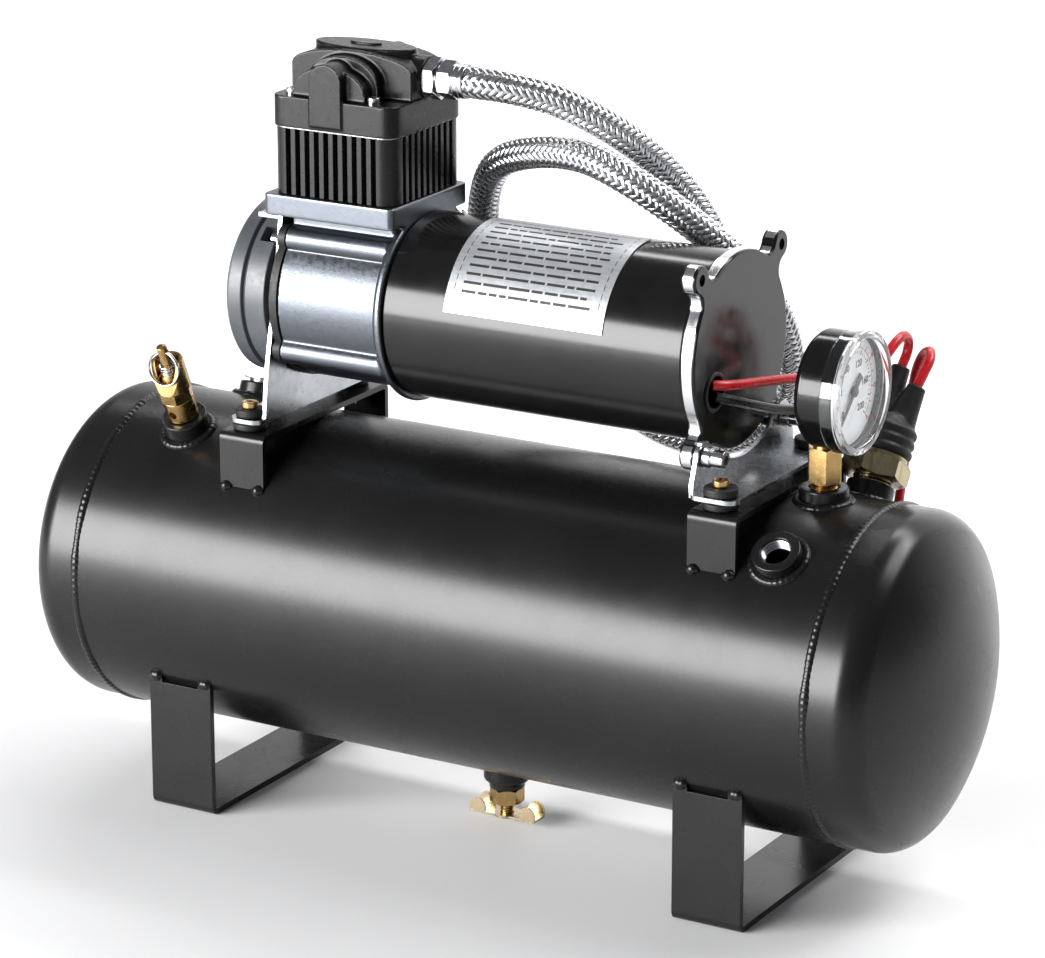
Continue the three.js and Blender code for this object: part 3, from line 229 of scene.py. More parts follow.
def surface(name, slot, base, dark, light, spots, rough, *bumps, **sockets):
    """A material that runs from dark to light over spots, which are a grain's size and detail, or towards
    its edges where spots is "edges". base is its plain color and roughness, rough is (low, high, size,
    detail), and each bump is (height, size, detail)."""
    shader = Shader(name, slot, *base, **sockets)
    if spots == "edges":
        shader.tint(shader.edges(), dark, light, 0, 1)
    else:
        shader.tint(shader.grain(*spots), dark, light)
    shader.roughness(*rough)
    for height, *grain in bumps:
        shader.bump(shader.grain(*grain), height)
    return shader.material


def enamel(name, *bump):
    """Satin black enamel with a faint orange peel."""
    return surface(
        name, "tank_paint", ((0.005, 0.005, 0.0052), 0.3), (0.004, 0.004, 0.0042), (0.006, 0.006, 0.0063),
        (60, 2), (0.25, 0.29, 20, 3), bump, Specular_IOR_Level=0.32,
    )


def machined_aluminium():
    metal = Shader("machined_aluminium", "gloss_black", (0.78, 0.79, 0.81), 0.22, 1.0, Anisotropic=0.4)
    metal.roughness(0.16, 0.26, 3, 4)
    metal.bump(metal.grain(1, 2, (0.2, 1, 1)), 0.004)
    return metal.material


def chromate():
    """Yellow zinc chromate, which shifts between straw, pink and green."""
    metal = Shader("chromate", "zinc", (0.45, 0.37, 0.24), 0.26, 1.0)
    metal.tint(metal.grain(5, 2), (0.50, 0.35, 0.25), (0.40, 0.40, 0.24), 0.38, 0.62)
    metal.roughness(0.2, 0.3, 2, 4)
    metal.bump(metal.grain(1.2, 2), 0.004)
    return metal.material


def braid_wire():
    """Stainless braid: each ribbon is ridged by the six wires that lie side by side in it. Its colour is painted
    shade in the grooves between the wires and a painted highlight along each wire.
    """
    metal = Shader("braid", "braid", (0.60, 0.61, 0.63), 0.26, 1.0)
    across = metal.nodes.new("ShaderNodeAttribute")
    across.attribute_name = "across"
    wire_ridges_and_painted_shade = metal.arithmetic("PINGPONG", metal.arithmetic("MULTIPLY", across.outputs["Fac"], 6), 0.5)
    # painted shade, darker in the grooves between the wires, and a painted highlight, lighter along each wire's
    # crown
    metal.tint(wire_ridges_and_painted_shade, (0.46, 0.465, 0.475), (0.72, 0.73, 0.745), 0.02, 0.32)
    metal.roughness(0.2, 0.32, 1, 3)
    metal.bump(wire_ridges_and_painted_shade, 0.05)
    return metal.material


def insulation(name, dark, light):
    return surface(name, name, (light, 0.3), dark, light, (8, 3), (0.24, 0.4, 2, 4), (0.02, 1.5, 2))


def dial_white():
    paint = Shader("dial_white", "dial", (0.86, 0.88, 0.89), 0.45)
    paint.tint(paint.grain(10, 3), (0.84, 0.86, 0.87), (0.88, 0.90, 0.91))
    return paint.material


def ink(name, color):
    paint = Shader(name, "dial", color, 0.5)
    paint.roughness(0.42, 0.6, 1, 3)
    return paint.material


def clear(name, plain, *rough):
    """Clear acrylic."""
    glass = Shader(name, "clear", (0.97, 0.985, 0.985), plain, IOR=1.46, Transmission_Weight=1.0)
    glass.roughness(*rough)
    return glass


def clear_face():
    """The cover's thin face: clear straight through, and more mirror-like at a slant."""
    glass = clear("clear_face", 0.02, 0.01, 0.04, 3, 3)
    facing = glass.nodes.new("ShaderNodeLayerWeight").outputs["Facing"]
    glass.links.new(glass.ranged(facing, 0.04, 0.7, 0.55, 1.0), glass.bsdf.inputs["Alpha"])
    return glass.material


TANK_PAINT = enamel("tank_paint", 0.004, 1.6, 2)
WELD_PAINT = enamel("weld_paint", 0.03, 0.9, 2)
GLOSS = surface(
    "gloss_black", "gloss_black", ((0.004, 0.004, 0.0042), 0.14),
    (0.003, 0.003, 0.0032), (0.005, 0.005, 0.0053), (25, 3), (0.11, 0.19, 6, 5),
    (0.006, 2.4, 2), Specular_IOR_Level=0.3,
)
SEMI_GLOSS = surface(
    "semi_gloss_black", "gloss_black", ((0.004, 0.004, 0.0042), 0.17),
    (0.003, 0.003, 0.0032), (0.0055, 0.0055, 0.0058), (30, 3),
    (0.15, 0.19, 15, 3), (0.002, 1.8, 2), Specular_IOR_Level=0.32,
)
BLACK_CAST = surface(
    "black_cast", "black_cast", ((0.003, 0.003, 0.0032), 0.3),
    (0.003, 0.003, 0.0032), (0.01, 0.01, 0.0105), "edges", (0.25, 0.36, 3, 5),
    (0.012, 0.7, 3), (0.03, 3.5, 2), Specular_IOR_Level=0.25,
)
CAST = surface(
    "cast_aluminium", "cast_aluminium", ((0.12, 0.13, 0.145), 0.36),
    (0.105, 0.115, 0.13), (0.42, 0.43, 0.44), "edges", (0.28, 0.44, 2.2, 6),
    (0.05, 0.8, 4), (0.05, 4, 3), metallic=1.0,
)
ZINC = surface(
    "zinc", "zinc", ((0.38, 0.395, 0.41), 0.28),
    (0.34, 0.355, 0.375), (0.43, 0.445, 0.46), (12, 3), (0.2, 0.3, 4, 4), (0.004, 1.5, 2),
    metallic=1.0,
)
BRASS = surface(
    "brass", "brass", ((0.47, 0.31, 0.13), 0.24),
    (0.42, 0.27, 0.105), (0.52, 0.35, 0.15), (5, 3), (0.2, 0.3, 2.5, 4), (0.003, 1.2, 2),
    metallic=1.0,
)
BRONZE = surface(
    "bronze", "bronze", ((0.20, 0.165, 0.085), 0.3),
    (0.13, 0.105, 0.055), (0.42, 0.36, 0.22), "edges", (0.2, 0.32, 3, 4), (0.004, 1.2, 2),
    metallic=1.0,
)
STEEL = surface(
    "steel", "steel", ((0.76, 0.77, 0.79), 0.18),
    (0.46, 0.47, 0.485), (0.60, 0.61, 0.62), (3, 4), (0.14, 0.24, 2, 4), (0.003, 1, 2),
    metallic=1.0,
)
RUBBER = surface(
    "rubber", "rubber", ((0.008, 0.008, 0.008), 0.5),
    (0.006, 0.006, 0.006), (0.012, 0.012, 0.0125), (5, 5), (0.4, 0.6, 2, 5), (0.03, 0.35, 3),
    Specular_IOR_Level=0.3,
)
GREY = surface(
    "grey_plastic", "grey_plastic", ((0.05, 0.054, 0.06), 0.36),
    (0.045, 0.049, 0.055), (0.058, 0.062, 0.069), (14, 3), (0.32, 0.46, 1.5, 4),
    (0.02, 0.3, 3),
)
FOIL = surface(
    "foil", "foil", ((0.42, 0.43, 0.445), 0.4),
    (0.37, 0.38, 0.395), (0.46, 0.47, 0.485), (0.9, 4, (0.08, 1, 1)), (0.36, 0.48, 2, 4),
    (0.01, 0.4, 3), metallic=0.7,
)
MACHINED = machined_aluminium()
CHROMATE = chromate()
BRAID = braid_wire()
CORE = Shader("hose_core", "braid", (0.03, 0.03, 0.032), 0.6).material
RED_WIRE = insulation("red_insulation", (0.42, 0.006, 0.01), (0.62, 0.012, 0.018))
BLACK_WIRE = insulation("black_insulation", (0.008, 0.008, 0.008), (0.016, 0.016, 0.016))
DIAL = dial_white()
BLACK_INK = ink("black_ink", (0.01, 0.01, 0.01))
RED_INK = ink("red_ink", (0.62, 0.02, 0.02))
CLEAR_RIM = clear("clear_rim", 0.03, 0.02, 0.06, 3, 3).material
CLEAR_FACE = clear_face()

# ---------------------------------------------------------------- shapes


def linked(mesh):
    obj = bpy.data.objects.new("shape", mesh)
    bpy.context.scene.collection.objects.link(obj)
    return obj


def mesh_object(vertices, faces):
    """A mesh from corners in millimetres, its faces turned outwards."""
    mesh = bpy.data.meshes.new("shape")
    mesh.from_pydata([(x * MM, y * MM, z * MM) for x, y, z in vertices], [], faces)
    shape = bmesh.new()
    shape.from_mesh(mesh)
    bmesh.ops.recalc_face_normals(shape, faces=shape.faces)
    shape.to_mesh(mesh)
    shape.free()
    return linked(mesh)


def rounded(corners, radius, steps=4, closed=False):
    """An outline with each corner replaced by a curve that starts up to radius from it."""
    points = [Vector(corner) for corner in corners]
    result = []
    for i, corner in enumerate(points):
        if not closed and i in (0, len(points) - 1):
            result.append(tuple(corner))
            continue
        back, ahead = points[i - 1] - corner, points[(i + 1) % len(points)] - corner
        reach = min(radius, 0.45 * back.length, 0.45 * ahead.length)
        start, end = corner + back.normalized() * reach, corner + ahead.normalized() * reach
        for k in range(steps + 1):
            t = k / steps
            result.append(tuple(start * (1 - t) ** 2 + corner * 2 * t * (1 - t) + end * t * t))
    return result


def revolve(profile, sides=96, closed=False):
    """A body turned about X from (x, radius) corners. It ends on the axis, or closes on itself."""
    vertices, faces, rings = [], [], []
    for along, radius in profile:
        first = len(vertices)
        if radius < 1e-6:
            vertices.append((along, 0, 0))
            rings.append([first] * sides)
            continue
        vertices += [(along, y, z) for y, z in circle(radius, sides)]
        rings.append(list(range(first, first + sides)))
    pairs = list(zip(rings, rings[1:]))
    if closed:
        pairs.append((rings[-1], rings[0]))
    for low, high in pairs:
        for i in range(sides):
            j = (i + 1) % sides
            face = list(dict.fromkeys((low[i], low[j], high[j], high[i])))
            if len(face) > 2:
                faces.append(face)
    return mesh_object(vertices, faces)


def turned(profile, radius, steps=3, sides=48, closed=False):
    """A body turned about Z from (z, radius) corners, its edges rounded."""
    return moved(revolve(rounded(profile, radius, steps, closed), sides, closed), ALONG_Z)


def prism(outline, low, high, axis="X"):
    """An outline in the other two axes, extruded along axis."""
    order = {"X": (2, 0, 1), "Y": (0, 2, 1), "Z": (0, 1, 2)}[axis]
    count = len(outline)
    corners = [(u, v, low) for u, v in outline] + [(u, v, high) for u, v in outline]
    vertices = [tuple(corner[i] for i in order) for corner in corners]
    faces = [list(range(count)), list(range(count, 2 * count))]
    faces += [[i, (i + 1) % count, count + (i + 1) % count, count + i] for i in range(count)]
    return mesh_object(vertices, faces)


def block(x, y, z):
    """A box from three (low, high) pairs."""
    return prism([(x[0], y[0]), (x[1], y[0]), (x[1], y[1]), (x[0], y[1])], *z, axis="Z")


def circle(radius, sides=48, at=(0, 0), start=0.0, end=math.tau):
    """Corners of an arc, or of a whole circle without its repeated corner."""
    whole = abs(end - start - math.tau) < 1e-6
    angles = [start + (end - start) * i / sides for i in range(sides if whole else sides + 1)]
    return [(at[0] + radius * math.cos(angle), at[1] + radius * math.sin(angle)) for angle in angles]


def bar(radius, low, high, axis="Z", at=(0, 0), sides=48):
    return prism(circle(radius, sides, at), low, high, axis)


def hexagon(flats, turn=0.0):
    return circle(flats / 2 / math.cos(math.pi / 6), 6, start=turn, end=turn + math.tau)


def hexagon_nut(flats, low, high, turn=0.0):
    """A hexagon along Z whose corners are turned down to a cone at both ends."""
    point, flat = flats / 2 / math.cos(math.pi / 6), flats / 2
    slope = 0.58 * (point - flat)
    cone = [(low, 0), (low, flat), (low + slope, point), (high - slope, point), (high, flat), (high, 0)]
    body = prism(hexagon(flats, turn), low, high, "Z")
    return boolean(body, [moved(revolve(cone, 72), ALONG_Z)], "INTERSECT")


def rectangle(x0, x1, y0, y1, radius, steps=5):
    return rounded([(x0, y0), (x1, y0), (x1, y1), (x0, y1)], radius, steps, closed=True)


ALONG_Z = Matrix.Rotation(math.radians(-90), 4, "Y")  # takes a body turned about X upright
ALONG_X = Matrix.Rotation(math.radians(90), 4, "Y")  # lays an upright body down


def shift(x=0, y=0, z=0):
    return Matrix.Translation((x * MM, y * MM, z * MM))


def lean(degrees):
    return Matrix.Rotation(math.radians(degrees), 4, "X")


def moved(obj, matrix):
    obj.data.transform(matrix)
    return obj


def baked(obj):
    """Gives obj the mesh that its modifiers make."""
    graph = bpy.context.evaluated_depsgraph_get()
    graph.update()
    mesh = bpy.data.meshes.new_from_object(obj.evaluated_get(graph))
    obj.modifiers.clear()
    obj.data = mesh
    return obj


def boolean(target, others, operation):
    """Joins, cuts or intersects target with others, which are used up."""
    for other in others:
        modifier = target.modifiers.new("boolean", "BOOLEAN")
        modifier.operation = operation
        modifier.solver = "MANIFOLD"
        modifier.object = other
    baked(target)
    for other in others:
        bpy.data.objects.remove(other)
    return target


def union(target, *others):
    return boolean(target, others, "UNION")


def cut(target, *others):
    return boolean(target, others, "DIFFERENCE")


def beveled(obj, width, segments=2, angle=32):
    """Rounds the sharp edges by width millimetres."""
    modifier = obj.modifiers.new("bevel", "BEVEL")
    modifier.width = width * MM
    modifier.segments = segments
    modifier.limit_method = "ANGLE"
    modifier.angle_limit = math.radians(angle)
    return baked(obj)


def cast(parts, cell, smoothing):
    """Fuses parts into one skin with the soft edges of a casting. cell is its grain in mm."""
    body = union(*parts)
    remesh = body.modifiers.new("remesh", "REMESH")
    remesh.mode = "VOXEL"
    remesh.voxel_size = cell * MM
    smooth = body.modifiers.new("smooth", "SMOOTH")
    smooth.factor = 0.5
    smooth.iterations = smoothing
    return baked(body)


def piece(obj, name, material, *nodes, body="housing", slot=None, angle=35):
    """Names, shades and paints a finished shape, hangs it on a body and lets it stand for CAD nodes."""
    obj.name = name
    mesh = obj.data
    mesh.name = name
    mesh.materials.clear()
    mesh.materials.append(material)
    mesh.polygons.foreach_set("use_smooth", [True] * len(mesh.polygons))
    mesh.set_sharp_from_angle(angle=math.radians(angle))
    if len(mesh.polygons) < DENSE:
        modifier = obj.modifiers.new("flat faces stay flat", "WEIGHTED_NORMAL")
        modifier.keep_sharp = True
    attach(obj, body)
    if nodes:
        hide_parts(*nodes)
    return obj


def joined(first, *others):
    """One object holding all the meshes, without fusing them."""
    shape = bmesh.new()
    for obj in (first, *others):
        shape.from_mesh(obj.data)
    shape.to_mesh(first.data)
    shape.free()
    for other in others:
        bpy.data.objects.remove(other)
    return first


def smooth_line(points, step):
    """Even points, step apart, on a smooth line through points."""
    line = [Vector(p) for p in points]
    knots = [0.0]
    for a, b in zip(line, line[1:]):
        knots.append(knots[-1] + math.sqrt((b - a).length))
    line = [line[0] * 2 - line[1], *line, line[-1] * 2 - line[-2]]
    knots = [knots[0] * 2 - knots[1], *knots, knots[-1] * 2 - knots[-2]]
    dense, parts = [], 24
    for i in range(1, len(line) - 2):
        for k in range(parts):
            dense.append(centripetal(line[i - 1:i + 3], knots[i - 1:i + 3], k / parts))
    dense.append(line[-2])
    return evenly(dense, step)


def centripetal(points, knots, share):
    """A point on the middle stretch of a centripetal Catmull-Rom curve."""
    t = knots[1] + (knots[2] - knots[1]) * share
    for order in (1, 2, 3):
        spans = [(knots[i], knots[i + order]) for i in range(len(points) - 1)] if order < 3 else [knots[1:3]]
        points = [p.lerp(q, (t - a) / (b - a)) for p, q, (a, b) in zip(points, points[1:], spans)]
    return points[0]


def evenly(line, step):
    """Points about step apart along a line, its two ends among them."""
    total = sum((b - a).length for a, b in zip(line, line[1:]))
    count = max(2, round(total / step))
    gap = total / count
    result, walked, target = [line[0]], 0.0, gap
    for a, b in zip(line, line[1:]):
        size = (b - a).length
        while target <= walked + size + 1e-9 and len(result) < count:
            result.append(a.lerp(b, (target - walked) / size))
            target += gap
        walked += size
    result.append(line[-1])
    return result


def frames_along(line, closed=False):
    """(side, up) at each point of a line, turned as little as possible from one to the next."""
    count = len(line)
    result, side = [], None
    for i in range(count):
        if closed:
            along = (line[(i + 1) % count] - line[i - 1]).normalized()
        else:
            along = (line[min(i + 1, count - 1)] - line[max(i - 1, 0)]).normalized()
        if side is None:
            side = along.orthogonal().normalized()
        side = (side - along * side.dot(along)).normalized()
        result.append((side.copy(), along.cross(side)))
    return result


def tube_faces(count, rings, first=0, closed=False):
    """Faces between rings of count corners, with a cap at both ends unless the tube is closed."""
    faces = []
    for i in range(rings if closed else rings - 1):
        low, high = first + i * count, first + (i + 1) % rings * count
        faces += [[low + k, low + (k + 1) % count, high + (k + 1) % count, high + k] for k in range(count)]
    if not closed:
        last = first + (rings - 1) * count
        faces += [list(range(first, first + count)), list(range(last, last + count))]
    return faces


def sweep(line, section, closed=False):
    """A tube along a line in mm. section(i) gives its outline, as (side, up) pairs, at point i."""
    vertices = []
    for i, (point, (side, up)) in enumerate(zip(line, frames_along(line, closed))):
        vertices += [tuple(point + side * a + up * b) for a, b in section(i)]
    return mesh_object(vertices, tube_faces(len(section(0)), len(line), closed=closed))


def wire_ring(radius, wire, sides=64):
    """A ring of round wire about X."""
    return revolve(circle(wire, 14, (0, radius)), sides, closed=True)


def helix_ridge(radius, low, high, pitch, depth, inward=False):
    """A screw thread's crest round Z, sharp on its outer or inner side."""
    turns = (high - low) / pitch
    steps = int(turns * 40)
    tip = radius - depth if inward else radius + depth
    vertices = []
    for i in range(steps + 1):
        angle, z = math.tau * turns * i / steps, low + (high - low) * i / steps
        fade = min(1, 6 * i / steps, 6 * (steps - i) / steps)
        reach = radius + (tip - radius) * fade
        for r, dz in ((radius, -pitch * 0.42), (reach, 0), (radius, pitch * 0.42)):
            vertices.append((r * math.cos(angle), r * math.sin(angle), z + dz))
    return mesh_object(vertices, tube_faces(3, steps + 1))


def weld_bead(line, radius, closed=False, seed=1):
    """A bead of weld along a line: overlapping ripples about half a bead apart, a little uneven."""
    step, ripple = 0.42, 1.15 * radius
    dense = evenly([*line, line[0]] if closed else line, step)
    if closed:
        dense = dense[:-1]

    def section(i):
        swell = 1 + 0.035 * math.cos(math.tau * i * step / ripple)
        swell += 0.18 * noise.noise(Vector((i * step * 0.11, seed * 7.3, 0)))
        ends = min(i, len(dense) - 1 - i)
        taper = 1 if closed else min(1, 0.45 + ends * 0.12)
        return circle(radius * swell * taper, 12)

    return sweep(dense, section, closed)


def port_matrix(port):
    """From a port's own frame, with +Z outwards and its origin on the tank's skin, to the row frame."""
    x, degrees, _ = PORTS[port]
    return shift(x, 0, TANK["axis"]) @ lean(degrees) @ shift(0, 0, TANK["radius"])


DRIVE = shift(0, 0, AXIS)
OVER_BARREL = DRIVE @ shift(BARREL["x"], 0, 0)
SIDES = (("front", -1), ("rear", 1))

# ---------------------------------------------------------------- tank


def head_profile(inset):
    """(x, radius) from the pole of the right-hand dished head to its edge, inset from the outer skin."""
    knuckle, crown = TANK["knuckle"] - inset, TANK["crown"] - inset
    across, between = TANK["radius"] - TANK["knuckle"], TANK["crown"] - TANK["knuckle"]
    joint = math.asin(across / between)
    knuckle_x = TANK["weld"] + TANK["flange"]
    crown_x = knuckle_x - math.sqrt(between ** 2 - across ** 2)
    steps = 20
    profile = []
    for i in range(steps + 1):
        angle = joint * i / steps
        profile.append((crown_x + crown * math.cos(angle), crown * math.sin(angle)))
    for i in range(1, steps + 1):
        angle = joint + (math.pi / 2 - joint) * i / steps
        profile.append((knuckle_x + knuckle * math.cos(angle), across + knuckle * math.sin(angle)))
    return profile


def tank_body(inset):
    half = head_profile(inset)
    profile = half + [(-x, radius) for x, radius in reversed(half)]
    profile[0], profile[-1] = (profile[0][0], 0), (profile[-1][0], 0)
    return moved(revolve(profile, 256), shift(0, 0, TANK["axis"]))


def build_tank():
    holes = [moved(bar(6, -12, 6), port_matrix(port)) for port in PORTS]
    shell = cut(tank_body(0), tank_body(TANK["wall"]), *holes)
    piece(shell, "tank_skin", TANK_PAINT, "tank_shell", angle=30)
    for side, seed, x in (("left", 1, -TANK["weld"]), ("right", 2, TANK["weld"])):
        ring = [Vector((x, y, z + TANK["axis"])) for y, z in circle(TANK["radius"] - 1.5, 720)]
        piece(weld_bead(ring, 2.5, closed=True, seed=seed), f"tank_weld_{side}", WELD_PAINT)


def skin_ring(radius, inset):
    """A ring round a port, in the port's frame, that follows the tank's curve."""
    skin = TANK["radius"]
    return [Vector((x, y, math.sqrt(skin ** 2 - y * y) - skin - inset)) for x, y in circle(radius, 240)]


def build_ports():
    radius, neck, below = BOSS["radius"], BOSS["neck"], BOSS["below"]
    for number, (port, (_, _, height)) in enumerate(PORTS.items()):
        outer = [(below, radius), (height, radius)]
        if port == "drain":
            outer = [(below, radius), (height - 4.5, radius), (height - 2.2, neck), (height, neck)]
        profile = [*outer, (height, PIPE["bore"]), (below, PIPE["bore"])]
        boss = turned(profile, 1.0, 4, 96, closed=True)
        if port in ("relief", "switch"):
            boss = joined(boss, moved(wire_ring(10.2, 0.7, 96), shift(0, 0, height - 0.6) @ ALONG_Z))
        piece(moved(boss, port_matrix(port)), f"{port}_boss", TANK_PAINT, f"{port}_port")
        bead = weld_bead(skin_ring(radius + 1, 0.4), 2.1, closed=True, seed=number)
        piece(moved(bead, port_matrix(port)), f"{port}_weld", WELD_PAINT)
    thread = helix_ridge(PIPE["bore"] + 0.15, -2, 5.2, PIPE["pitch"], 0.75, inward=True)
    piece(moved(thread, port_matrix("service")), "service_thread", ZINC, slot="tank_paint")


# ---------------------------------------------------------------- legs and straps


def bent_bar(half, thick, bend, bottom, top):
    """A flat bar bent into a U that opens upwards, in Y and Z."""
    outer = [(half, top), (half, bottom), (-half, bottom), (-half, top)]
    inside, floor = half - thick, bottom + thick
    inner = [(-inside, top), (-inside, floor), (inside, floor), (inside, top)]
    return rounded(outer, bend, 8) + rounded(inner, max(bend - thick, 1), 8)


def skin_cutter():
    skin = bar(TANK["radius"] + 0.1, -TANK["weld"], TANK["weld"], "X", sides=256)
    return moved(skin, shift(0, 0, TANK["axis"]))


def corner_welds(x, half, size, y, sign):
    """Two short beads along X at the corners of a bar that meets the tank at y, below or above its axis."""
    z = TANK["axis"] + sign * math.sqrt(TANK["radius"] ** 2 - y * y)
    beads = []
    for seed, start in enumerate((x - half, x + half - size)):
        line = [Vector((start, y, z)), Vector((start + size, y, z))]
        beads.append(weld_bead(line, 2.7, seed=seed + x))
    return joined(*beads)


def build_legs():
    half, notch = LEG["width"] / 2, LEG["notch"]
    outline = bent_bar(LEG["half"], LEG["thick"], LEG["bend"], 0, TANK["axis"] - 0.5 * TANK["radius"])
    for side, x in (("left", -LEG["x"]), ("right", LEG["x"])):
        body = prism(outline, x - half, x + half)
        body = cut(body, skin_cutter(), block((x - notch, x + notch), (-70, 70), (LEG["notch_z"], 100)))
        piece(beveled(body, 0.55, 3), f"{side}_leg_bar", TANK_PAINT, f"{side}_leg")
        for row, sign in SIDES:
            welds = corner_welds(x, half, 7, sign * LEG["half"] * 0.985, -1)
            piece(welds, f"{side}_leg_{row}_weld", WELD_PAINT)


def build_straps():
    half, below = STRAP["width"] / 2, STRAP["top"] - STRAP["thick"]
    reach = STRAP["top"] - TANK["axis"] - 0.5 * TANK["radius"]
    outline = [(y, -z) for y, z in bent_bar(STRAP["half"], STRAP["thick"], STRAP["bend"], 0, reach)]
    rows = (-STRAP["bolt"], STRAP["bolt"])
    for side, bracket in (("left", LEFT), ("right", RIGHT)):
        x, bolt = bracket["strap"], bracket["isolator"]
        body = moved(prism(outline, x - half, x + half), shift(0, 0, STRAP["top"]))
        holes = [bar(2.7, 160, 190, at=(bolt, y)) for y in rows]
        body = beveled(cut(body, skin_cutter(), *holes), 0.5, 3)
        for y in rows:
            nut = cut(hexagon_nut(9, below - 4.5, below), bar(2.4, below - 6, below + 1))
            body = joined(body, moved(nut, shift(bolt, y, 0)))
        piece(body, f"{side}_strap_bar", TANK_PAINT, f"{side}_strap")
        for row, sign in SIDES:
            piece(corner_welds(x, half, 6, sign * STRAP["half"], 1), f"{side}_strap_{row}_weld", WELD_PAINT)


# ---------------------------------------------------------------- brackets, isolators and screws


def foot_plate(x0, x1, hole_x):
    low, high = FOOT["z"], FOOT["z"] + FOOT["thick"]
    plate = prism(rectangle(x0, x1, -FOOT["half"], FOOT["half"], FOOT["corner"]), low, high, "Z")
    holes = [bar(FOOT["hole"], low - 1, high + 1, at=(hole_x, y)) for y in (-STRAP["bolt"], STRAP["bolt"])]
    return cut(plate, *holes)


def build_left_bracket():
    x, right, top = LEFT["x"], LEFT["x"] + FOOT["thick"], LEFT["top"]
    edge = [(44.5, FOOT["z"]), (41.5, 213), (38.2, 229), (35.8, 243), (33.6, 257), (30, 270), (27.5, top)]
    front = [(y, z) for _, y, z in smooth_line([(0, y, z) for y, z in edge], 3)]
    plate = prism(front + [(-y, z) for y, z in reversed(front)], x, right)
    at = [(side * CAP_SCREW["y"], AXIS + CAP_SCREW["z"]) for _, side in SIDES]
    screws = [bar(2.3, x - 1, right + 1, "X", place, 24) for place in at]
    plate = cut(plate, bar(LEFT["opening"], x - 1, right + 1, "X", (0, AXIS), BORE_SIDES), *screws)
    tabs = [
        block((LEFT["tab"], right), sorted((side * 20.5, side * 27.5)), (top - FOOT["thick"], top))
        for _, side in SIDES
    ]
    body = union(plate, foot_plate(LEFT["foot"], right, LEFT["isolator"]), *tabs)
    piece(beveled(body, 0.5, 3), "left_bracket_plate", ZINC, "left_bracket")


def build_right_bracket():
    x, right, low, lobe = RIGHT["x"], RIGHT["x"] + FOOT["thick"], AXIS - EAR["z"], RIGHT["lobe"]
    outline = [(-48, FOOT["z"]), (48, FOOT["z"]), (48, FOOT["z"] + 6), (EAR["y"] + lobe, low)]
    outline += circle(lobe, 16, (EAR["y"], low), 0, math.pi * 0.75)
    outline += circle(lobe, 16, (-EAR["y"], low), math.pi * 0.25, math.pi)
    outline.append((-48, FOOT["z"] + 6))
    holes = [bar(EAR["hole"], x - 1, right + 1, "X", (side * EAR["y"], low), 24) for _, side in SIDES]
    plate = cut(prism(outline, x, right), bar(RIGHT["arc"], x - 1, right + 1, "X", (0, AXIS), 160), *holes)
    body = beveled(union(plate, foot_plate(x, RIGHT["foot"], RIGHT["isolator"])), 0.5, 3)
    piece(body, "right_bracket_plate", ZINC, "right_bracket")


def grommet(upper):
    base, top, bore = STRAP["top"] + GAP, 195.5, 2.6
    under, over = FOOT["z"] - GAP, FOOT["z"] + FOOT["thick"] + GAP
    profile = [(base, bore), (base, 7.9), (under, 7.9), (under, 4.7), (over, 4.7), (over, upper), (top, upper)]
    return turned([*profile, (top, bore)], 0.9, 4, 64, closed=True)


def stud():
    """A brass bolt with a slotted, socketed collar on top of its grommet."""
    seat, shank, collar = 195.8, 2.2, 3.75
    profile = [(176, 0), (176, shank), (seat, shank), (seat, collar), (seat + 2.7, collar), (seat + 2.7, 0)]
    slot = block((-4, 4), (-0.6, 0.6), (seat + 1.5, seat + 4))
    bolt = cut(turned(profile, 0.35), slot, bar(1.5, seat + 1.2, seat + 4, sides=24))
    return joined(bolt, helix_ridge(2.1, 176.5, 184, 0.8, 0.28))


def build_isolators():
    for side, x, upper in (("left", LEFT["isolator"], 6.6), ("right", RIGHT["isolator"], 7.6)):
        for row, sign in SIDES:
            place = shift(x, sign * STRAP["bolt"], 0)
            node = f"{side}_{row}_isolator"
            piece(moved(grommet(upper), place), f"{side}_{row}_grommet", RUBBER, node)
            piece(moved(stud(), place), f"{side}_{row}_stud", BRASS, f"{node}_bolt")


def socket_screw(seat, head_end, head_radius, collar_end, collar_radius, shank_end, shank_radius):
    """A socket-head screw on the X axis, seen from head_end."""
    outward = 1 if head_end > seat else -1
    profile = [
        (shank_end, 0), (shank_end, shank_radius), (seat, shank_radius), (seat, collar_radius),
        (collar_end, collar_radius), (collar_end + outward * 0.01, head_radius), (head_end, head_radius),
        (head_end, 0),
    ]
    depth = sorted((head_end - outward * 2.4, head_end + outward))
    return cut(revolve(rounded(profile, 0.5, 3), 64), prism(hexagon(head_radius), *depth, "X"))


def build_screws():
    left, right, face = LEFT["x"] - GAP, RIGHT["x"] + FOOT["thick"] + GAP, PLATE["x"]
    for row, side in SIDES:
        cap = socket_screw(left, left - 3.7, 3.5, left - 0.7, 4.1, -90, 2)
        moved(cap, DRIVE @ shift(0, side * CAP_SCREW["y"], CAP_SCREW["z"]))
        piece(cap, f"left_{row}_cap_screw", STEEL, f"left_{row}_screw")
        ear = socket_screw(right, right + 10, 4, right + 4, 4.8, face + 1, 2.2)
        moved(ear, DRIVE @ shift(0, side * EAR["y"], -EAR["z"]))
        piece(ear, f"right_{row}_ear_screw", STEEL, f"right_{row}_screw")
        upper = socket_screw(face + 2.2, face + 5.2, 2.35, face + 2.3, 2.4, face + 0.4, 1.5)
        moved(upper, DRIVE @ shift(0, side * EAR["y"], EAR["z"]))
        piece(upper, f"upper_{row}_ear_screw", STEEL)


# ---------------------------------------------------------------- crankcase and its cap


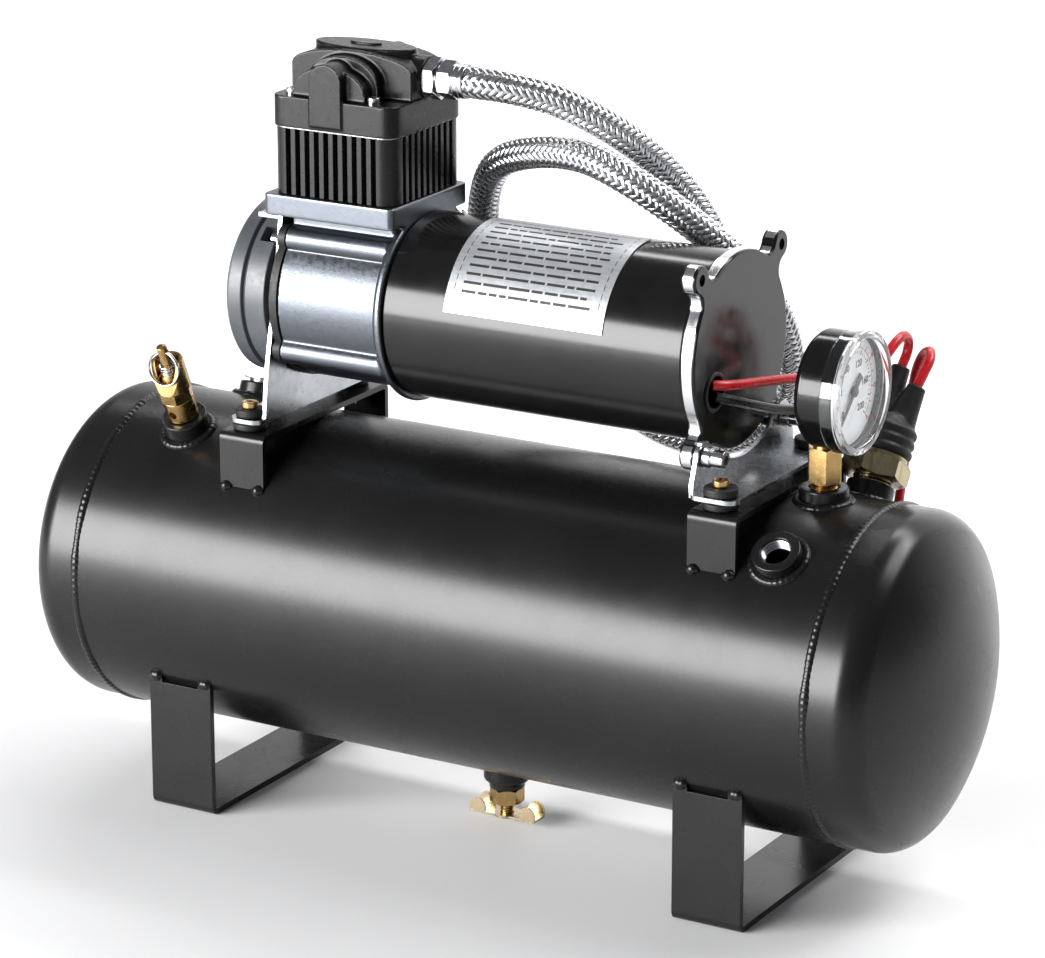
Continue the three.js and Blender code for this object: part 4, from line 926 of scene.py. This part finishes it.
def ribbed_case(x0, x1, radius):
    parts = [bar(radius, x0, x1, "X", sides=128)]
    for degrees in RIB_ANGLES:
        y = -CASE["rib_at"] * math.cos(math.radians(degrees))
        z = CASE["rib_at"] * math.sin(math.radians(degrees))
        parts.append(bar(CASE["rib"], x0, x1, "X", (y, z), 32))
    return parts


def build_crankcase():
    left, right, radius = CASE["left"], CASE["right"], CASE["ring"]
    parts = ribbed_case(left, right, CASE["radius"])
    parts.append(block((left, right), (-26, 26), (20, DECK["bottom"] + 1)))
    ring = [(right - 1, 0), (right - 1, 43), (right + 1.2, radius), (DECK["right"], radius), (DECK["right"], 0)]
    parts.append(revolve(rounded(ring, 0.8, 4), 160))
    deck = rectangle(DECK["left"], DECK["right"], -DECK["half"], DECK["half"], 3.5)
    parts.append(prism(deck, DECK["bottom"], DECK["top"], "Z"))
    parts.append(prism([(-58, 38), (-43.6, 24), (-43.6, 41), (-58, 41)], -22, 22, "Y"))  # a gusset
    holes = [
        bar(CASE["hollow"], left - 1, right - 3, "X", sides=BORE_SIDES),
        bar(5, left, DECK["right"] + 1, "X", sides=32),
        bar(BARREL["bore"], 10, DECK["top"] + 1, "Z", (BARREL["x"], 0), BORE_SIDES),
        block((left - 1, left + 0.35), (-48, 48), (-48, DECK["bottom"] - 1)),
    ]
    body = moved(cut(cast(parts, 0.62, 5), *holes), DRIVE)
    piece(body, "crankcase_casting", CAST, "crankcase", angle=50)


def build_case_gasket():
    body = union(*ribbed_case(LEFT["x"] + FOOT["thick"] + GAP, CASE["left"] - GAP, CASE["radius"] + 0.6))
    roof = block((-110, -90), (-60, 60), (DECK["bottom"] - GAP, 60))
    hollow = bar(CASE["hollow"], -110, -90, "X", sides=BORE_SIDES)
    piece(moved(beveled(cut(body, roof, hollow), 0.4), DRIVE), "case_gasket", RUBBER, "crankcase_gasket")


def build_end_cap():
    left, step, right = CAP["left"], CAP["step"], CAP["right"]
    radius, neck, groove, inside = CAP["radius"], CAP["neck"], CAP["groove"], CAP["inside"]
    profile = [
        (left + 1.0, 0), (left + 1.0, 26), (left, 27.5), (left, radius - 2), (left + 2, radius),
        (step - 0.8, radius), (step - 0.3, groove), (step + 0.3, groove), (step + 0.8, neck),
        (right, neck), (right, inside), (left + 4, inside), (left + 4, 0),
    ]
    flat = block((DECK["left"] - GAP, right + 1), (-20, 20), (DECK["bottom"] - GAP, 60))
    at = [(side * CAP_SCREW["y"], CAP_SCREW["z"]) for _, side in SIDES]
    pockets = [bar(5, -112, right + 1, "X", place, 32) for place in at]
    cap = cut(revolve(rounded(profile, 0.6, 4), 160), flat, *pockets)
    piece(moved(beveled(cap, 0.25, 2, 50), DRIVE), "end_cap_moulding", GREY, "end_cap")


# ---------------------------------------------------------------- cylinder and head


def finned_outline():
    """A rounded rectangle whose four sides are cut into fins."""
    length, width, corner = BARREL["length"], BARREL["width"], BARREL["corner"]
    fin, depth = BARREL["pitch"] / 2, BARREL["fin"]
    sides = [  # the way along a side, its start, its size and the way in
        ((0, 1), (length, corner - width), 2 * (width - corner), (-1, 0)),
        ((-1, 0), (length - corner, width), 2 * (length - corner), (0, -1)),
        ((0, -1), (-length, width - corner), 2 * (width - corner), (1, 0)),
        ((1, 0), (corner - length, -width), 2 * (length - corner), (0, 1)),
    ]
    outline = []
    for side, ((ax, ay), (sx, sy), size, (ix, iy)) in enumerate(sides):
        slots = math.floor((size + fin) / BARREL["pitch"])
        first = (size - slots * BARREL["pitch"] + fin) / 2
        for i in range(slots):
            start = first + i * BARREL["pitch"]
            for along, inward in ((start, 0), (start, depth), (start + fin, depth), (start + fin, 0)):
                outline.append((sx + ax * along + ix * inward, sy + ay * along + iy * inward))
        centre = (sx + ax * size + ix * corner, sy + ay * size + iy * corner)
        outline += circle(corner, 8, centre, math.pi / 2 * side, math.pi / 2 * (side + 1))
    return outline


def build_cylinder():
    barrel = beveled(prism(finned_outline(), DECK["top"] + GAP, BARREL["top"], "Z"), 0.45)
    barrel = cut(barrel, bar(BARREL["bore"], 40, 90, sides=BORE_SIDES))
    piece(moved(barrel, OVER_BARREL), "finned_barrel", BLACK_CAST, "cylinder")
    outline = rectangle(-31.6, 31.6, -30.4, 30.4, 7)
    gasket = cut(prism(outline, BARREL["top"] - 0.1, HEAD["bottom"] + 0.1, "Z"), bar(24, 79, 83))
    piece(moved(gasket, OVER_BARREL), "head_gasket", ZINC, slot="black_cast")


def arch(x0, x1, shoulder, top, y0, y1):
    """A round-topped wall across the head."""
    centre, half = (x0 + x1) / 2, (x1 - x0) / 2
    outline = [(x0, HEAD["bottom"] + 2), (x1, HEAD["bottom"] + 2)]
    for x, z in circle(1, 32, end=math.pi):
        outline.append((centre + half * x, shoulder + (top - shoulder) * z))
    return prism(outline, *sorted((y0, y1)), axis="Y")


def oval(length, width, low, high):
    return prism([(x * length, y * width) for x, y in circle(1, 64)], low, high, "Z")


def build_head():
    length, width = HEAD["length"], HEAD["width"]
    slab = rectangle(-length, length, -width, width, BARREL["corner"], 8)
    parts = [moved(prism(slab, HEAD["bottom"], HEAD["slab"], "Z"), shift(BARREL["x"]))]
    for _, side in SIDES:
        for x0, x1, shoulder, top, outer, inner in LOBES:
            parts.append(arch(x0, x1, shoulder, top, side * outer, side * inner))
    parts.append(arch(-104, -40.8, 107.5, 115.2, -14, 14))
    parts.append(moved(oval(26, 11, 110, 116.2), shift(BARREL["x"])))
    parts.append(bar(9.6, -50, OUTLET["left"] - GAP, "X", (0, OUTLET["z"]), 64))
    piece(moved(cast(parts, 0.5, 5), DRIVE), "head_casting", BLACK_CAST, "cylinder_head", angle=60)
    emblem = moved(beveled(oval(8, 3.6, 115.8, 117.1), 0.5, 3), OVER_BARREL)
    piece(emblem, "head_emblem", BLACK_CAST)


def build_head_screws():
    seat = HEAD["slab"] + 0.1
    profile = [(seat - 3, 0), (seat - 3, 3), (seat + 2.6, 3), (seat + 2.6, 0)]
    nodes = {0: ["front_head_screw"], 1: ["rear_head_screw"]}
    for number, (x, y) in enumerate(((18.5, -23.5), (18.5, 23.5), (-24.5, -23.5), (-24.5, 23.5))):
        screw = cut(turned(profile, 0.5), prism(hexagon(2.6), seat + 0.8, seat + 4, "Z"))
        moved(screw, OVER_BARREL @ shift(x, y, 0))
        piece(screw, f"head_screw_{number + 1}", STEEL, *nodes.get(number, []))


def build_outlet():
    level = DRIVE @ shift(0, 0, OUTLET["z"])
    nut = joined(hexagon_nut(OUTLET["nut"], OUTLET["left"], -33), bar(6.5, -34, -32.2))
    piece(moved(nut, level @ ALONG_X), "outlet_union", STEEL, "outlet_nut")
    radius = OUTLET["sleeve"]
    sleeve = revolve(rounded([(-26, 0), (-26, radius), (-19, radius), (-19, 0)], 0.7, 4), 64)
    grooves = [moved(wire_ring(radius + 0.15, 0.45), shift(x)) for x in (-24, -21.2)]
    sleeve = moved(cut(sleeve, *grooves), level)
    fitting = moved(hexagon_nut(OUTLET["ferrule"], -31.9, -25), level @ ALONG_X)
    piece(joined(fitting, sleeve), "hose_ferrule_head", STEEL, "hose_ferrule")


# ---------------------------------------------------------------- motor


def shell_arc(x0, x1, first, last, inner, outer, steps):
    """A curved sheet on the motor's can, between two angles in degrees."""
    first, last = math.radians(first), math.radians(last)
    outline = circle(outer, steps, start=first, end=last) + circle(inner, steps, start=last, end=first)
    return prism(outline, x0, x1)


def label_print(radius):
    """A thin frame and plain bars, which stand for rows of print."""
    left, right = LABEL["left"] + 3.5, LABEL["right"] - 3.5
    low, high, line = LABEL["low"] + 5, LABEL["high"] - 4, 0.35
    thin = math.degrees(line / radius)
    sheets = [(left, right, low, low + thin), (left, right, high - thin, high)]
    sheets += [(left, left + line, low, high), (right - line, right, low, high)]
    rows, margin = 11, 5
    for row in range(rows):
        start = low + margin + row * (high - low - 2 * margin) / rows
        x = left + 4
        while x < right - 8:
            size = min(random.uniform(3, 12), right - 4 - x)
            sheets.append((x, x + size, start, start + 1.7))
            x += size + 1.1
    return joined(*[shell_arc(*sheet, radius - 0.05, radius + 0.05, 12) for sheet in sheets])


def build_motor():
    radius, left, right = MOTOR["radius"], MOTOR["left"], MOTOR["right"]
    inside = radius - MOTOR["wall"]
    profile = rounded([(left, inside), (left, radius), (right, radius), (right, inside)], 0.8, 4, closed=True)
    piece(moved(revolve(profile, 200, closed=True), DRIVE), "motor_can", SEMI_GLOSS, "motor_tube")
    label = shell_arc(*LABEL.values(), radius + 0.25, radius + 0.6, 60)
    piece(moved(label, DRIVE), "motor_foil", FOIL, "motor_label")
    piece(moved(label_print(radius + 0.6), DRIVE), "motor_foil_print", BLACK_INK, slot="foil")


def plate_outline():
    """A disc with four ears that blend into it through hollow curves."""
    radius, fillet, ear_radius = PLATE["radius"], PLATE["fillet"], EAR["radius"]
    reach, hollow = math.hypot(EAR["y"], EAR["z"]), radius + fillet
    cosine = (hollow ** 2 + reach ** 2 - (ear_radius + fillet) ** 2) / (2 * hollow * reach)
    spread, first = math.acos(cosine), math.atan2(EAR["z"], EAR["y"])
    ears = [first, math.pi - first, math.pi + first, math.tau - first]
    outline = []
    for i, ear in enumerate(ears):
        centre = (reach * math.cos(ear), reach * math.sin(ear))
        before = (hollow * math.cos(ear - spread), hollow * math.sin(ear - spread))
        after = (hollow * math.cos(ear + spread), hollow * math.sin(ear + spread))
        to_ear = math.atan2(centre[1] - before[1], centre[0] - before[0])
        from_ear = math.atan2(centre[1] - after[1], centre[0] - after[0])
        following = ears[(i + 1) % 4] + (math.tau if i == 3 else 0)
        outline += arc_between(before, fillet, ear - spread + math.pi, to_ear, -1, 10)
        outline += arc_between(centre, ear_radius, to_ear + math.pi, from_ear + math.pi, 1, 14)
        outline += arc_between(after, fillet, from_ear, ear + spread + math.pi, -1, 10)
        outline += arc_between((0, 0), radius, ear + spread, following - spread, 1, 40)
    return outline


def arc_between(centre, radius, start, end, turn, steps):
    """An arc from start to end, whose angle rises where turn is 1 and falls where it is -1."""
    end = start + turn * ((turn * (end - start)) % math.tau)
    return circle(radius, steps, centre, start, end)[1:]


def ear_holes(radius):
    low, high = PLATE["x"] - 1, PLATE["x"] + PLATE["thick"] + 1
    places = [(y, z) for y in (-EAR["y"], EAR["y"]) for z in (-EAR["z"], EAR["z"])]
    return [bar(radius, low, high, "X", place, 32) for place in places]


def build_end_plate():
    x0, x1 = PLATE["x"], PLATE["x"] + PLATE["thick"]
    at = (PLATE["wire_y"], PLATE["wire_z"])
    wires = bar(PLATE["wire_hole"], x0 - 1, x1 + 1, "X", at, 64)
    plate = cut(beveled(prism(plate_outline(), x0, x1), 0.8, 4), *ear_holes(EAR["hole"]), wires)
    piece(moved(plate, DRIVE), "end_plate_disc", GLOSS, "motor_end_plate")
    proud = 1.0035  # the bare rim stands a little over the paint
    rim = prism([(proud * y, proud * z) for y, z in plate_outline()], x0 + 1.2, x1 - 1.4)
    core = bar(40, x0 - 1, x1 + 1, "X", sides=BORE_SIDES)
    rim = beveled(cut(rim, *ear_holes(EAR["hole"] + 0.3), core), 0.1, 1)
    piece(moved(rim, DRIVE), "end_plate_rim", MACHINED)
    profile = [(x0 + 0.5, 7.2), (x0 + 0.5, 8.9), (x1 + 0.9, 8.9), (x1 + 0.9, 7.2)]
    sleeve = revolve(rounded(profile, 0.5, 3, closed=True), 64, closed=True)
    piece(moved(sleeve, DRIVE @ shift(0, *at)), "wire_grommet", RUBBER)
    back = bar(39.4, x0 - 3, x0 - 1.4, "X", sides=BORE_SIDES)
    piece(moved(back, DRIVE), "brush_plate", RUBBER)


def build_moving_parts():
    """The armature, crank and rod keep their CAD shapes, with rounded edges."""
    for name, material in (("motor_rotor", STEEL), ("crank", STEEL), ("piston_rod", MACHINED)):
        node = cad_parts[name]
        node.data.materials.clear()
        node.data.materials.append(material)
        weld = node.modifiers.new("weld", "WELD")
        weld.merge_threshold = 1e-6
        bevel = node.modifiers.new("bevel", "BEVEL")
        bevel.width = 0.3 * MM
        bevel.segments = 2


# ---------------------------------------------------------------- pressure gauge


def dial_mark(inner, outer, angle, half_width):
    """A printed tick, at angle clockwise from the top, as a thin prism in the dial's plane."""
    out, side = Vector((math.sin(angle), math.cos(angle))), Vector((math.cos(angle), -math.sin(angle)))
    ends = ((inner, -1), (inner, 1), (outer, 1), (outer, -1))
    corners = [tuple(out * reach + side * sign * half_width) for reach, sign in ends]
    return prism(corners, GAUGE["dial"], GAUGE["dial"] + 0.06)


def dial_number(text, radius, angle, size):
    """A printed number, upright, centred on the dial at angle clockwise from the top."""
    curve = bpy.data.curves.new("number", "FONT")
    curve.body = text
    curve.size = size * MM
    curve.align_x, curve.align_y = "CENTER", "CENTER"
    curve.extrude = 0.03 * MM
    curve.offset = 0.12 * MM
    letters = linked(curve)
    obj = linked(bpy.data.meshes.new_from_object(letters))
    bpy.data.objects.remove(letters)
    face_right = Matrix(((0, 0, 1, 0), (1, 0, 0, 0), (0, 1, 0, 0), (0, 0, 0, 1)))
    place = shift(GAUGE["dial"] + 0.04, radius * math.sin(angle), radius * math.cos(angle))
    return moved(obj, place @ face_right)


def dial_angles(count):
    """Evenly spread angles over the scale's three quarters of a turn."""
    return [math.radians(-135 + 270 * i / (count - 1)) for i in range(count)]


def build_scales(at):
    black = [
        dial_mark(16.4, 17.48 if i % 4 else 18.32, angle, 0.16 if i % 4 else 0.32)
        for i, angle in enumerate(dial_angles(41))
    ]
    black += [dial_number(str(40 * i), 12.4, angle, 4.4) for i, angle in enumerate(dial_angles(6))]
    inner, thin = 19.3, 0.25
    red = []
    for i, angle in enumerate(dial_angles(29)):
        red.append(dial_mark(inner, 20.5 if i % 2 else 21.1, angle, 0.15 if i % 2 else 0.28))
        if i % 4 == 0:
            red.append(dial_number(str(i // 2), 22.3, angle, 2.7))
    start, end = math.radians(-45), math.radians(225)
    arc = circle(inner, 90, start=start, end=end) + circle(inner - thin, 90, start=end, end=start)
    red.append(prism(arc, GAUGE["dial"], GAUGE["dial"] + 0.06))
    piece(moved(joined(*black), at), "dial_black_scale", BLACK_INK)
    piece(moved(joined(*red), at), "dial_red_scale", RED_INK)


def build_cover(at):
    """A thick clear rim round a thin clear face."""
    right, radius, front = GAUGE["right"], GAUGE["radius"], GAUGE["lens"]
    back, outer = right - 5.5, radius + 1.3
    rim = rounded([
        (back, radius + 0.3), (back, outer), (front, outer), (front, radius - 1.9), (front - 1.8, radius - 2.2),
        (right + 0.3, radius - 1.9), (right + 0.3, radius + 0.3),
    ], 0.9, 5, closed=True)
    rim = revolve(rim, 128, closed=True)
    piece(moved(rim, at), "gauge_cover_rim", CLEAR_RIM, "gauge_lens", angle=60)
    pane = [(front - 1.7, 0), (front - 1.7, radius - 2.2), (front - 0.3, radius - 2.0), (front - 0.3, 0)]
    piece(moved(revolve(pane, 96), at), "gauge_cover_face", CLEAR_FACE, angle=60)


def build_gauge():
    at = shift(0, 0, GAUGE["z"])
    left, right, radius, dial = GAUGE["left"], GAUGE["right"], GAUGE["radius"], GAUGE["dial"]
    profile = [
        (left + 1.8, 0), (left + 1.8, 15), (left, 19), (left, radius - 3), (left + 3, radius), (right - 6, radius),
        (right - 6, radius + 0.2), (right, radius), (right, radius - 2), (left + 2, radius - 2), (left + 2, 0),
    ]
    case = revolve(rounded(profile, 1.2, 5), 128)
    piece(moved(case, at), "gauge_body", GLOSS, "gauge_case")
    build_cover(at)
    face = [(dial - 0.8, 1.7), (dial - 0.8, radius - 2.3), (dial, radius - 2.3), (dial, 1.7)]
    piece(moved(revolve(face, 96, closed=True), at), "dial_face", DIAL, "gauge_dial")
    build_scales(at)
    build_pointer(at)
    build_gauge_stem()


def build_pointer(at):
    base, hub = GAUGE["dial"] + 0.9, 1.2
    outline = [(-0.45, 18.6), (-hub, 2), (-1.8, -8.6), (1.8, -8.6), (hub, 2), (0.45, 18.6)]
    needle = moved(beveled(prism(outline, base, base + 0.6), 0.12), lean(135))
    profile = [
        (base - 2.6, 0), (base - 2.6, hub), (base - 0.3, hub), (base - 0.3, 2.7), (base + 1.2, 2.4), (base + 1.2, 0),
    ]
    needle = joined(needle, revolve(rounded(profile, 0.35, 3), 48))
    piece(moved(needle, at), "pointer_needle", BLACK_INK, "gauge_pointer", body="pointer", slot="black_steel")


def build_gauge_stem():
    under = GAUGE["z"] - GAUGE["radius"] - TANK["axis"] - TANK["radius"] - GAP
    stem = joined(
        bar(5.4, -4, 8.6), helix_ridge(5.4, 4.5, 8.3, PIPE["pitch"], 0.8),
        hexagon_nut(PIPE["hex"], 8.5, under), bar(5.2, under - 0.5, under + 3.4),
    )
    piece(moved(stem, port_matrix("gauge")), "gauge_connection", BRASS, "gauge_stem")


# ---------------------------------------------------------------- relief valve


def relief_body():
    seat, lower, upper, top = VALVE["seat"], VALVE["lower"], VALVE["upper"], VALVE["top"]
    shank = [(-4, 0), (-4, PIPE["shank"]), (seat, PIPE["shank"]), (seat, lower), (19.2, lower), (19.2, 0)]
    body = union(
        turned(shank, 0.5, sides=72), hexagon_nut(PIPE["hex"], 19, 25),
        turned([(24.8, 0), (24.8, upper), (top, upper), (top, 0)], 0.5, sides=72),
    )
    well = moved(revolve([(28, 0), (28, 3.2), (31, 6), (42, 6), (42, 0)], 64), ALONG_Z)
    vents = [bar(2, -12, 12, axis, (0, 13.3), 32) for axis in ("X", "Y")]
    wedge = moved(block((-12, 12), (-30, 1.4), (-40, 2)), shift(0, 0, VALVE["ring_at"]) @ lean(-24))
    return beveled(cut(body, well, bar(2.8, 0, 40), *vents, wedge), 0.2, 2, 40)


def relief_stem():
    radius = VALVE["stem"]
    profile = [(8.3, 0), (8.3, radius), (29, radius), (30, 5), (32, 4.5), (36, radius), (48.5, radius), (48.5, 0)]
    return cut(turned(profile, 0.5), bar(1.4, -5, 5, "X", (0, VALVE["ring_at"]), 24))


def coiled_wire(wire, radius, turns, steps, start, place):
    """A round wire wound turns times, with place giving a point from its angle's cosine, sine and share."""
    line = []
    for i in range(steps + 1):
        angle = math.tau * turns * i / steps + start
        line.append(Vector(place(radius * math.cos(angle), radius * math.sin(angle), i / steps)))
    return sweep(line, lambda i: circle(wire, 10 if wire < 0.5 else 12))


def build_relief_valve():
    place = port_matrix("relief")
    piece(moved(relief_body(), place), "relief_body", BRASS, "relief_valve_body")
    piece(moved(relief_stem(), place), "relief_stem", BRASS, "relief_valve_stem", body="valve_stem")
    spring = coiled_wire(0.42, 3.6, 4.5, 160, 0, lambda x, y, share: (x, y, 32.2 + 7.0 * share))
    piece(moved(spring, place), "relief_spring", STEEL)
    radius = VALVE["ring"]
    ring = coiled_wire(0.56, radius, 1.92, 180, 0.3, lambda x, z, share: (x, 1.1 * share - 0.55, z - radius))
    moved(ring, place @ shift(0, 0, VALVE["ring_at"]) @ lean(-24))
    piece(ring, "split_ring", STEEL, "relief_valve_ring", body="pull_ring")


# ---------------------------------------------------------------- drain cock


def butterfly():
    half, width, low, high = HANDLE["half"], HANDLE["width"], HANDLE["low"], HANDLE["high"]
    body = union(block((-half, half), (-width, width), (low, high)), bar(6.5, low, high))
    ears = []
    for x in (-HANDLE["ear_x"], HANDLE["ear_x"]):
        outline = circle(HANDLE["ear"], 24, (x, HANDLE["ear_z"]), math.pi, math.tau)
        outline += [(x + HANDLE["ear"], high), (x - HANDLE["ear"], high)]
        for _, side in SIDES:
            ears.append(prism(outline, *sorted((side * width, side * (width - 1.2))), axis="Y"))
    return beveled(cut(union(body, *ears), bar(3.3, 24, 28)), 0.3, 3)


def build_drain_cock():
    place = port_matrix("drain")
    body = union(bar(PIPE["shank"], 2, 13.8), hexagon_nut(PIPE["hex"], 12.8, 20, math.pi / 6))
    piece(moved(cut(body, bar(3.5, 6, 21)), place), "drain_body", BRASS, "drain_cock_body")
    stem = joined(bar(3.0, 14, HANDLE["high"]), helix_ridge(2.9, 20.2, 25.2, 0.8, 0.32))
    piece(moved(stem, place), "drain_screw_stem", BRASS, "drain_cock_stem", body="drain_screw")
    piece(moved(butterfly(), place), "drain_butterfly", CHROMATE, "drain_cock_handle", body="drain_screw")


# ---------------------------------------------------------------- pressure switch


def switch_boot():
    """A ribbed rubber boot that ends in two conical outlets."""
    bottom, top, radius, ribs = BOOT.values()
    pitch = (top - bottom - 2) / ribs
    profile = [(bottom, 0), (bottom, radius - 1.2)]
    for i in range(ribs):
        z = bottom + i * pitch
        profile += [(z + 0.3 * pitch, radius), (z + 0.7 * pitch, radius), (z + pitch, radius - 1.3)]
    profile += [(top + 2, radius - 3.5), (top + 4, 0)]
    parts, steps = [turned(profile, 0.8, 4, 72)], 24
    for x0, z0, x1, z1 in ((-4.6, 36, -1, 64), (5, 36, 9, 56)):
        start, end = Vector((x0, 0, z0)), Vector((x1, 0, z1))
        line = [start.lerp(end, i / steps) for i in range(steps + 1)]
        parts.append(sweep(line, lambda i: circle(8 - 3.8 * (i / steps) ** 0.8, 32)))
    return cast(parts, 0.5, 4)


def build_switch():
    place = port_matrix("switch")
    body = joined(
        bar(PIPE["shank"], -4, 9), bar(8.6, 8.3, 11), helix_ridge(8.6, 8.4, 10.8, 1.2, 0.5),
        hexagon_nut(27, 10.5, 20, math.pi / 6), bar(12.8, 19.5, 22),
    )
    piece(moved(body, place), "switch_body", BRONZE, "pressure_switch")
    piece(moved(switch_boot(), place), "switch_boot", RUBBER, "pressure_switch_boot", angle=60)


# ---------------------------------------------------------------- hose and wires


def tube_along(route, diameter, step, sides):
    """A round tube on a route in metres, and the line it follows, in metres."""
    line = smooth_line([Vector(p) / MM for p in route], step)
    return sweep(line, lambda i: circle(diameter / 2, sides)), [tuple(p * MM) for p in line]


def braid(line, radius, count, pitch):
    """Two sets of count flat ribbons, wound opposite ways, over two and under two."""
    frames = frames_along(line)
    step = (line[1] - line[0]).length
    lift, half_width, thick = 0.36, 1.0, 0.34
    spread = half_width * math.hypot(1, math.tau * radius / pitch) / radius
    section = ((-1, -0.7), (-0.5, 0.2), (0, 0.35), (0.5, 0.2), (1, -0.7), (0, -0.7))
    vertices, faces, across = [], [], []
    for hand in (1, -1):
        for strand in range(count):
            faces += tube_faces(len(section), len(line), first=len(vertices))
            for i, (point, (side, up)) in enumerate(zip(line, frames)):
                walked = step * i / pitch
                angle = math.tau * (strand / count + hand * walked)
                crossings = 2 * strand + hand * 2 * count * walked
                height = radius + hand * lift * math.cos(math.pi * (crossings / 2 - 0.25))
                for share, raised in section:
                    around = angle + share * spread
                    out = side * math.cos(around) + up * math.sin(around)
                    vertices.append(tuple(point + out * (height + raised * thick)))
                    across.append((share + 1) / 2)
    weave = mesh_object(vertices, faces)
    attribute = weave.data.attributes.new("across", "FLOAT", "POINT")
    attribute.data.foreach_set("value", across)
    return weave


def build_hose():
    core, path = tube_along(HOSE_ROUTE, HOSE_DIAMETER - 0.9, 2.5, 32)
    piece(core, "hose_core", CORE, "air_hose")
    line = smooth_line([Vector(p) / MM for p in HOSE_ROUTE], 0.62)
    weave = braid(line, HOSE_DIAMETER / 2 - 0.3, 12, 40)
    piece(weave, "hose_braid", BRAID, angle=70)


def build_inlet_fitting():
    fitting = joined(
        bar(PIPE["shank"], -4, 8), bar(7, 6.3, 9), hexagon_nut(19, 7.8, 17),
        turned([(16, 0), (16, 8.3), (26, 8.3), (26, 0)], 0.7, 4, 64),
    )
    piece(moved(fitting, port_matrix("inlet")), "inlet_swivel", ZINC, "inlet_fitting", slot="black_steel")


def build_terminal(name, route):
    """A crimped ring terminal lying flat at the end of a lead."""
    x, y, z = Vector(route[-1]) / MM
    half, at = TERMINAL["half"], (TERMINAL["x"], 0)
    barrel = revolve(rounded([(-12, 1.7), (-12, 2.8), (0, 2.8), (0, 1.7)], 0.3, 3, closed=True), 48, closed=True)
    ring = cut(bar(TERMINAL["ring"], -half, half, at=at), bar(TERMINAL["hole"], -1, 1, at=at))
    body = beveled(union(ring, block((-13, -11), (-2.4, 2.4), (-half, half))), 0.2)
    return piece(moved(joined(body, barrel), shift(x - GAP, y, z)), f"{name}_ring", STEEL, name)


def build_wires():
    for name, route, material, terminal in (
        ("switch_wire", SWITCH_WIRE_ROUTE, RED_WIRE, None),
        ("positive_lead", POSITIVE_ROUTE, RED_WIRE, "positive_terminal"),
        ("negative_lead", NEGATIVE_ROUTE, BLACK_WIRE, "negative_terminal"),
    ):
        wire, path = tube_along(route, WIRE_DIAMETER, 1.5, 24)
        piece(wire, f"{name}_insulation", material, name)
        far_end, ends = "object", []
        if terminal:
            far_end, ends = "connector", [build_terminal(terminal, route)]


# ---------------------------------------------------------------- studio


def build_studio():
    """A pale floor that bends up into a wall behind the object."""
    floor = bpy.data.meshes.new("floor")
    size, width, bend, height, steps = 3.0, 4.0, 0.8, 3.0, 16
    rows = [(-size, 0.0), (size - bend, 0.0)]
    for i in range(1, steps + 1):
        angle = math.pi / 2 * i / steps
        rows.append((size - bend + bend * math.sin(angle), bend - bend * math.cos(angle)))
    rows.append((size, height))
    vertices = [(x, y, z) for y, z in rows for x in (-width, width)]
    faces = [[2 * i, 2 * i + 1, 2 * i + 3, 2 * i + 2] for i in range(len(rows) - 1)]
    floor.from_pydata(vertices, [], faces)
    floor.polygons.foreach_set("use_smooth", [True] * len(floor.polygons))
    backdrop = linked(floor)
    backdrop.name = "floor"
    paint = Shader("floor_paint", None, (0.7, 0.7, 0.705), 0.6)
    paint.roughness(0.55, 0.65, 40, 2)
    floor.materials.append(paint.material)


def area_light(name, place, target, size, power):
    data = bpy.data.lights.new(name, "AREA")
    data.shape = "RECTANGLE"
    data.size, data.size_y = size
    data.energy = power
    light = bpy.data.objects.new(name, data)
    light.location = place
    light.rotation_mode = "QUATERNION"
    light.rotation_quaternion = (Vector(target) - Vector(place)).to_track_quat("-Z", "Y")
    bpy.context.scene.collection.objects.link(light)


def build_lights():
    """One long softbox low at the front left, a small one above, and a light for the backdrop."""
    middle = (0, 0, 0.16)
    area_light("key", (-1.2, -2.04, 0.66), middle, (2.0, 1.15), 165)
    area_light("top", (0.85, 0.5, 1.35), middle, (0.8, 0.8), 13)
    area_light("backdrop", (0, 1.3, 2.0), (0, 2.6, 0.3), (3.0, 0.8), 110)
    world = bpy.data.worlds.new("studio")
    world.use_nodes = True
    world.node_tree.nodes["Background"].inputs["Color"].default_value = (0.94, 0.96, 1.0, 1)
    world.node_tree.nodes["Background"].inputs["Strength"].default_value = 0.18
    bpy.context.scene.world = world
    bpy.context.scene.view_settings.view_transform = "Standard"


# ---------------------------------------------------------------- the whole scene

random.seed(7)
for build in (
    build_hose, build_wires, build_tank, build_ports, build_legs, build_straps, build_left_bracket,
    build_right_bracket, build_isolators, build_screws, build_crankcase, build_case_gasket, build_end_cap,
    build_cylinder, build_head, build_head_screws, build_outlet, build_motor, build_end_plate,
    build_moving_parts, build_gauge, build_relief_valve, build_drain_cock, build_switch, build_inlet_fitting,
    build_studio, build_lights,
):
    build()
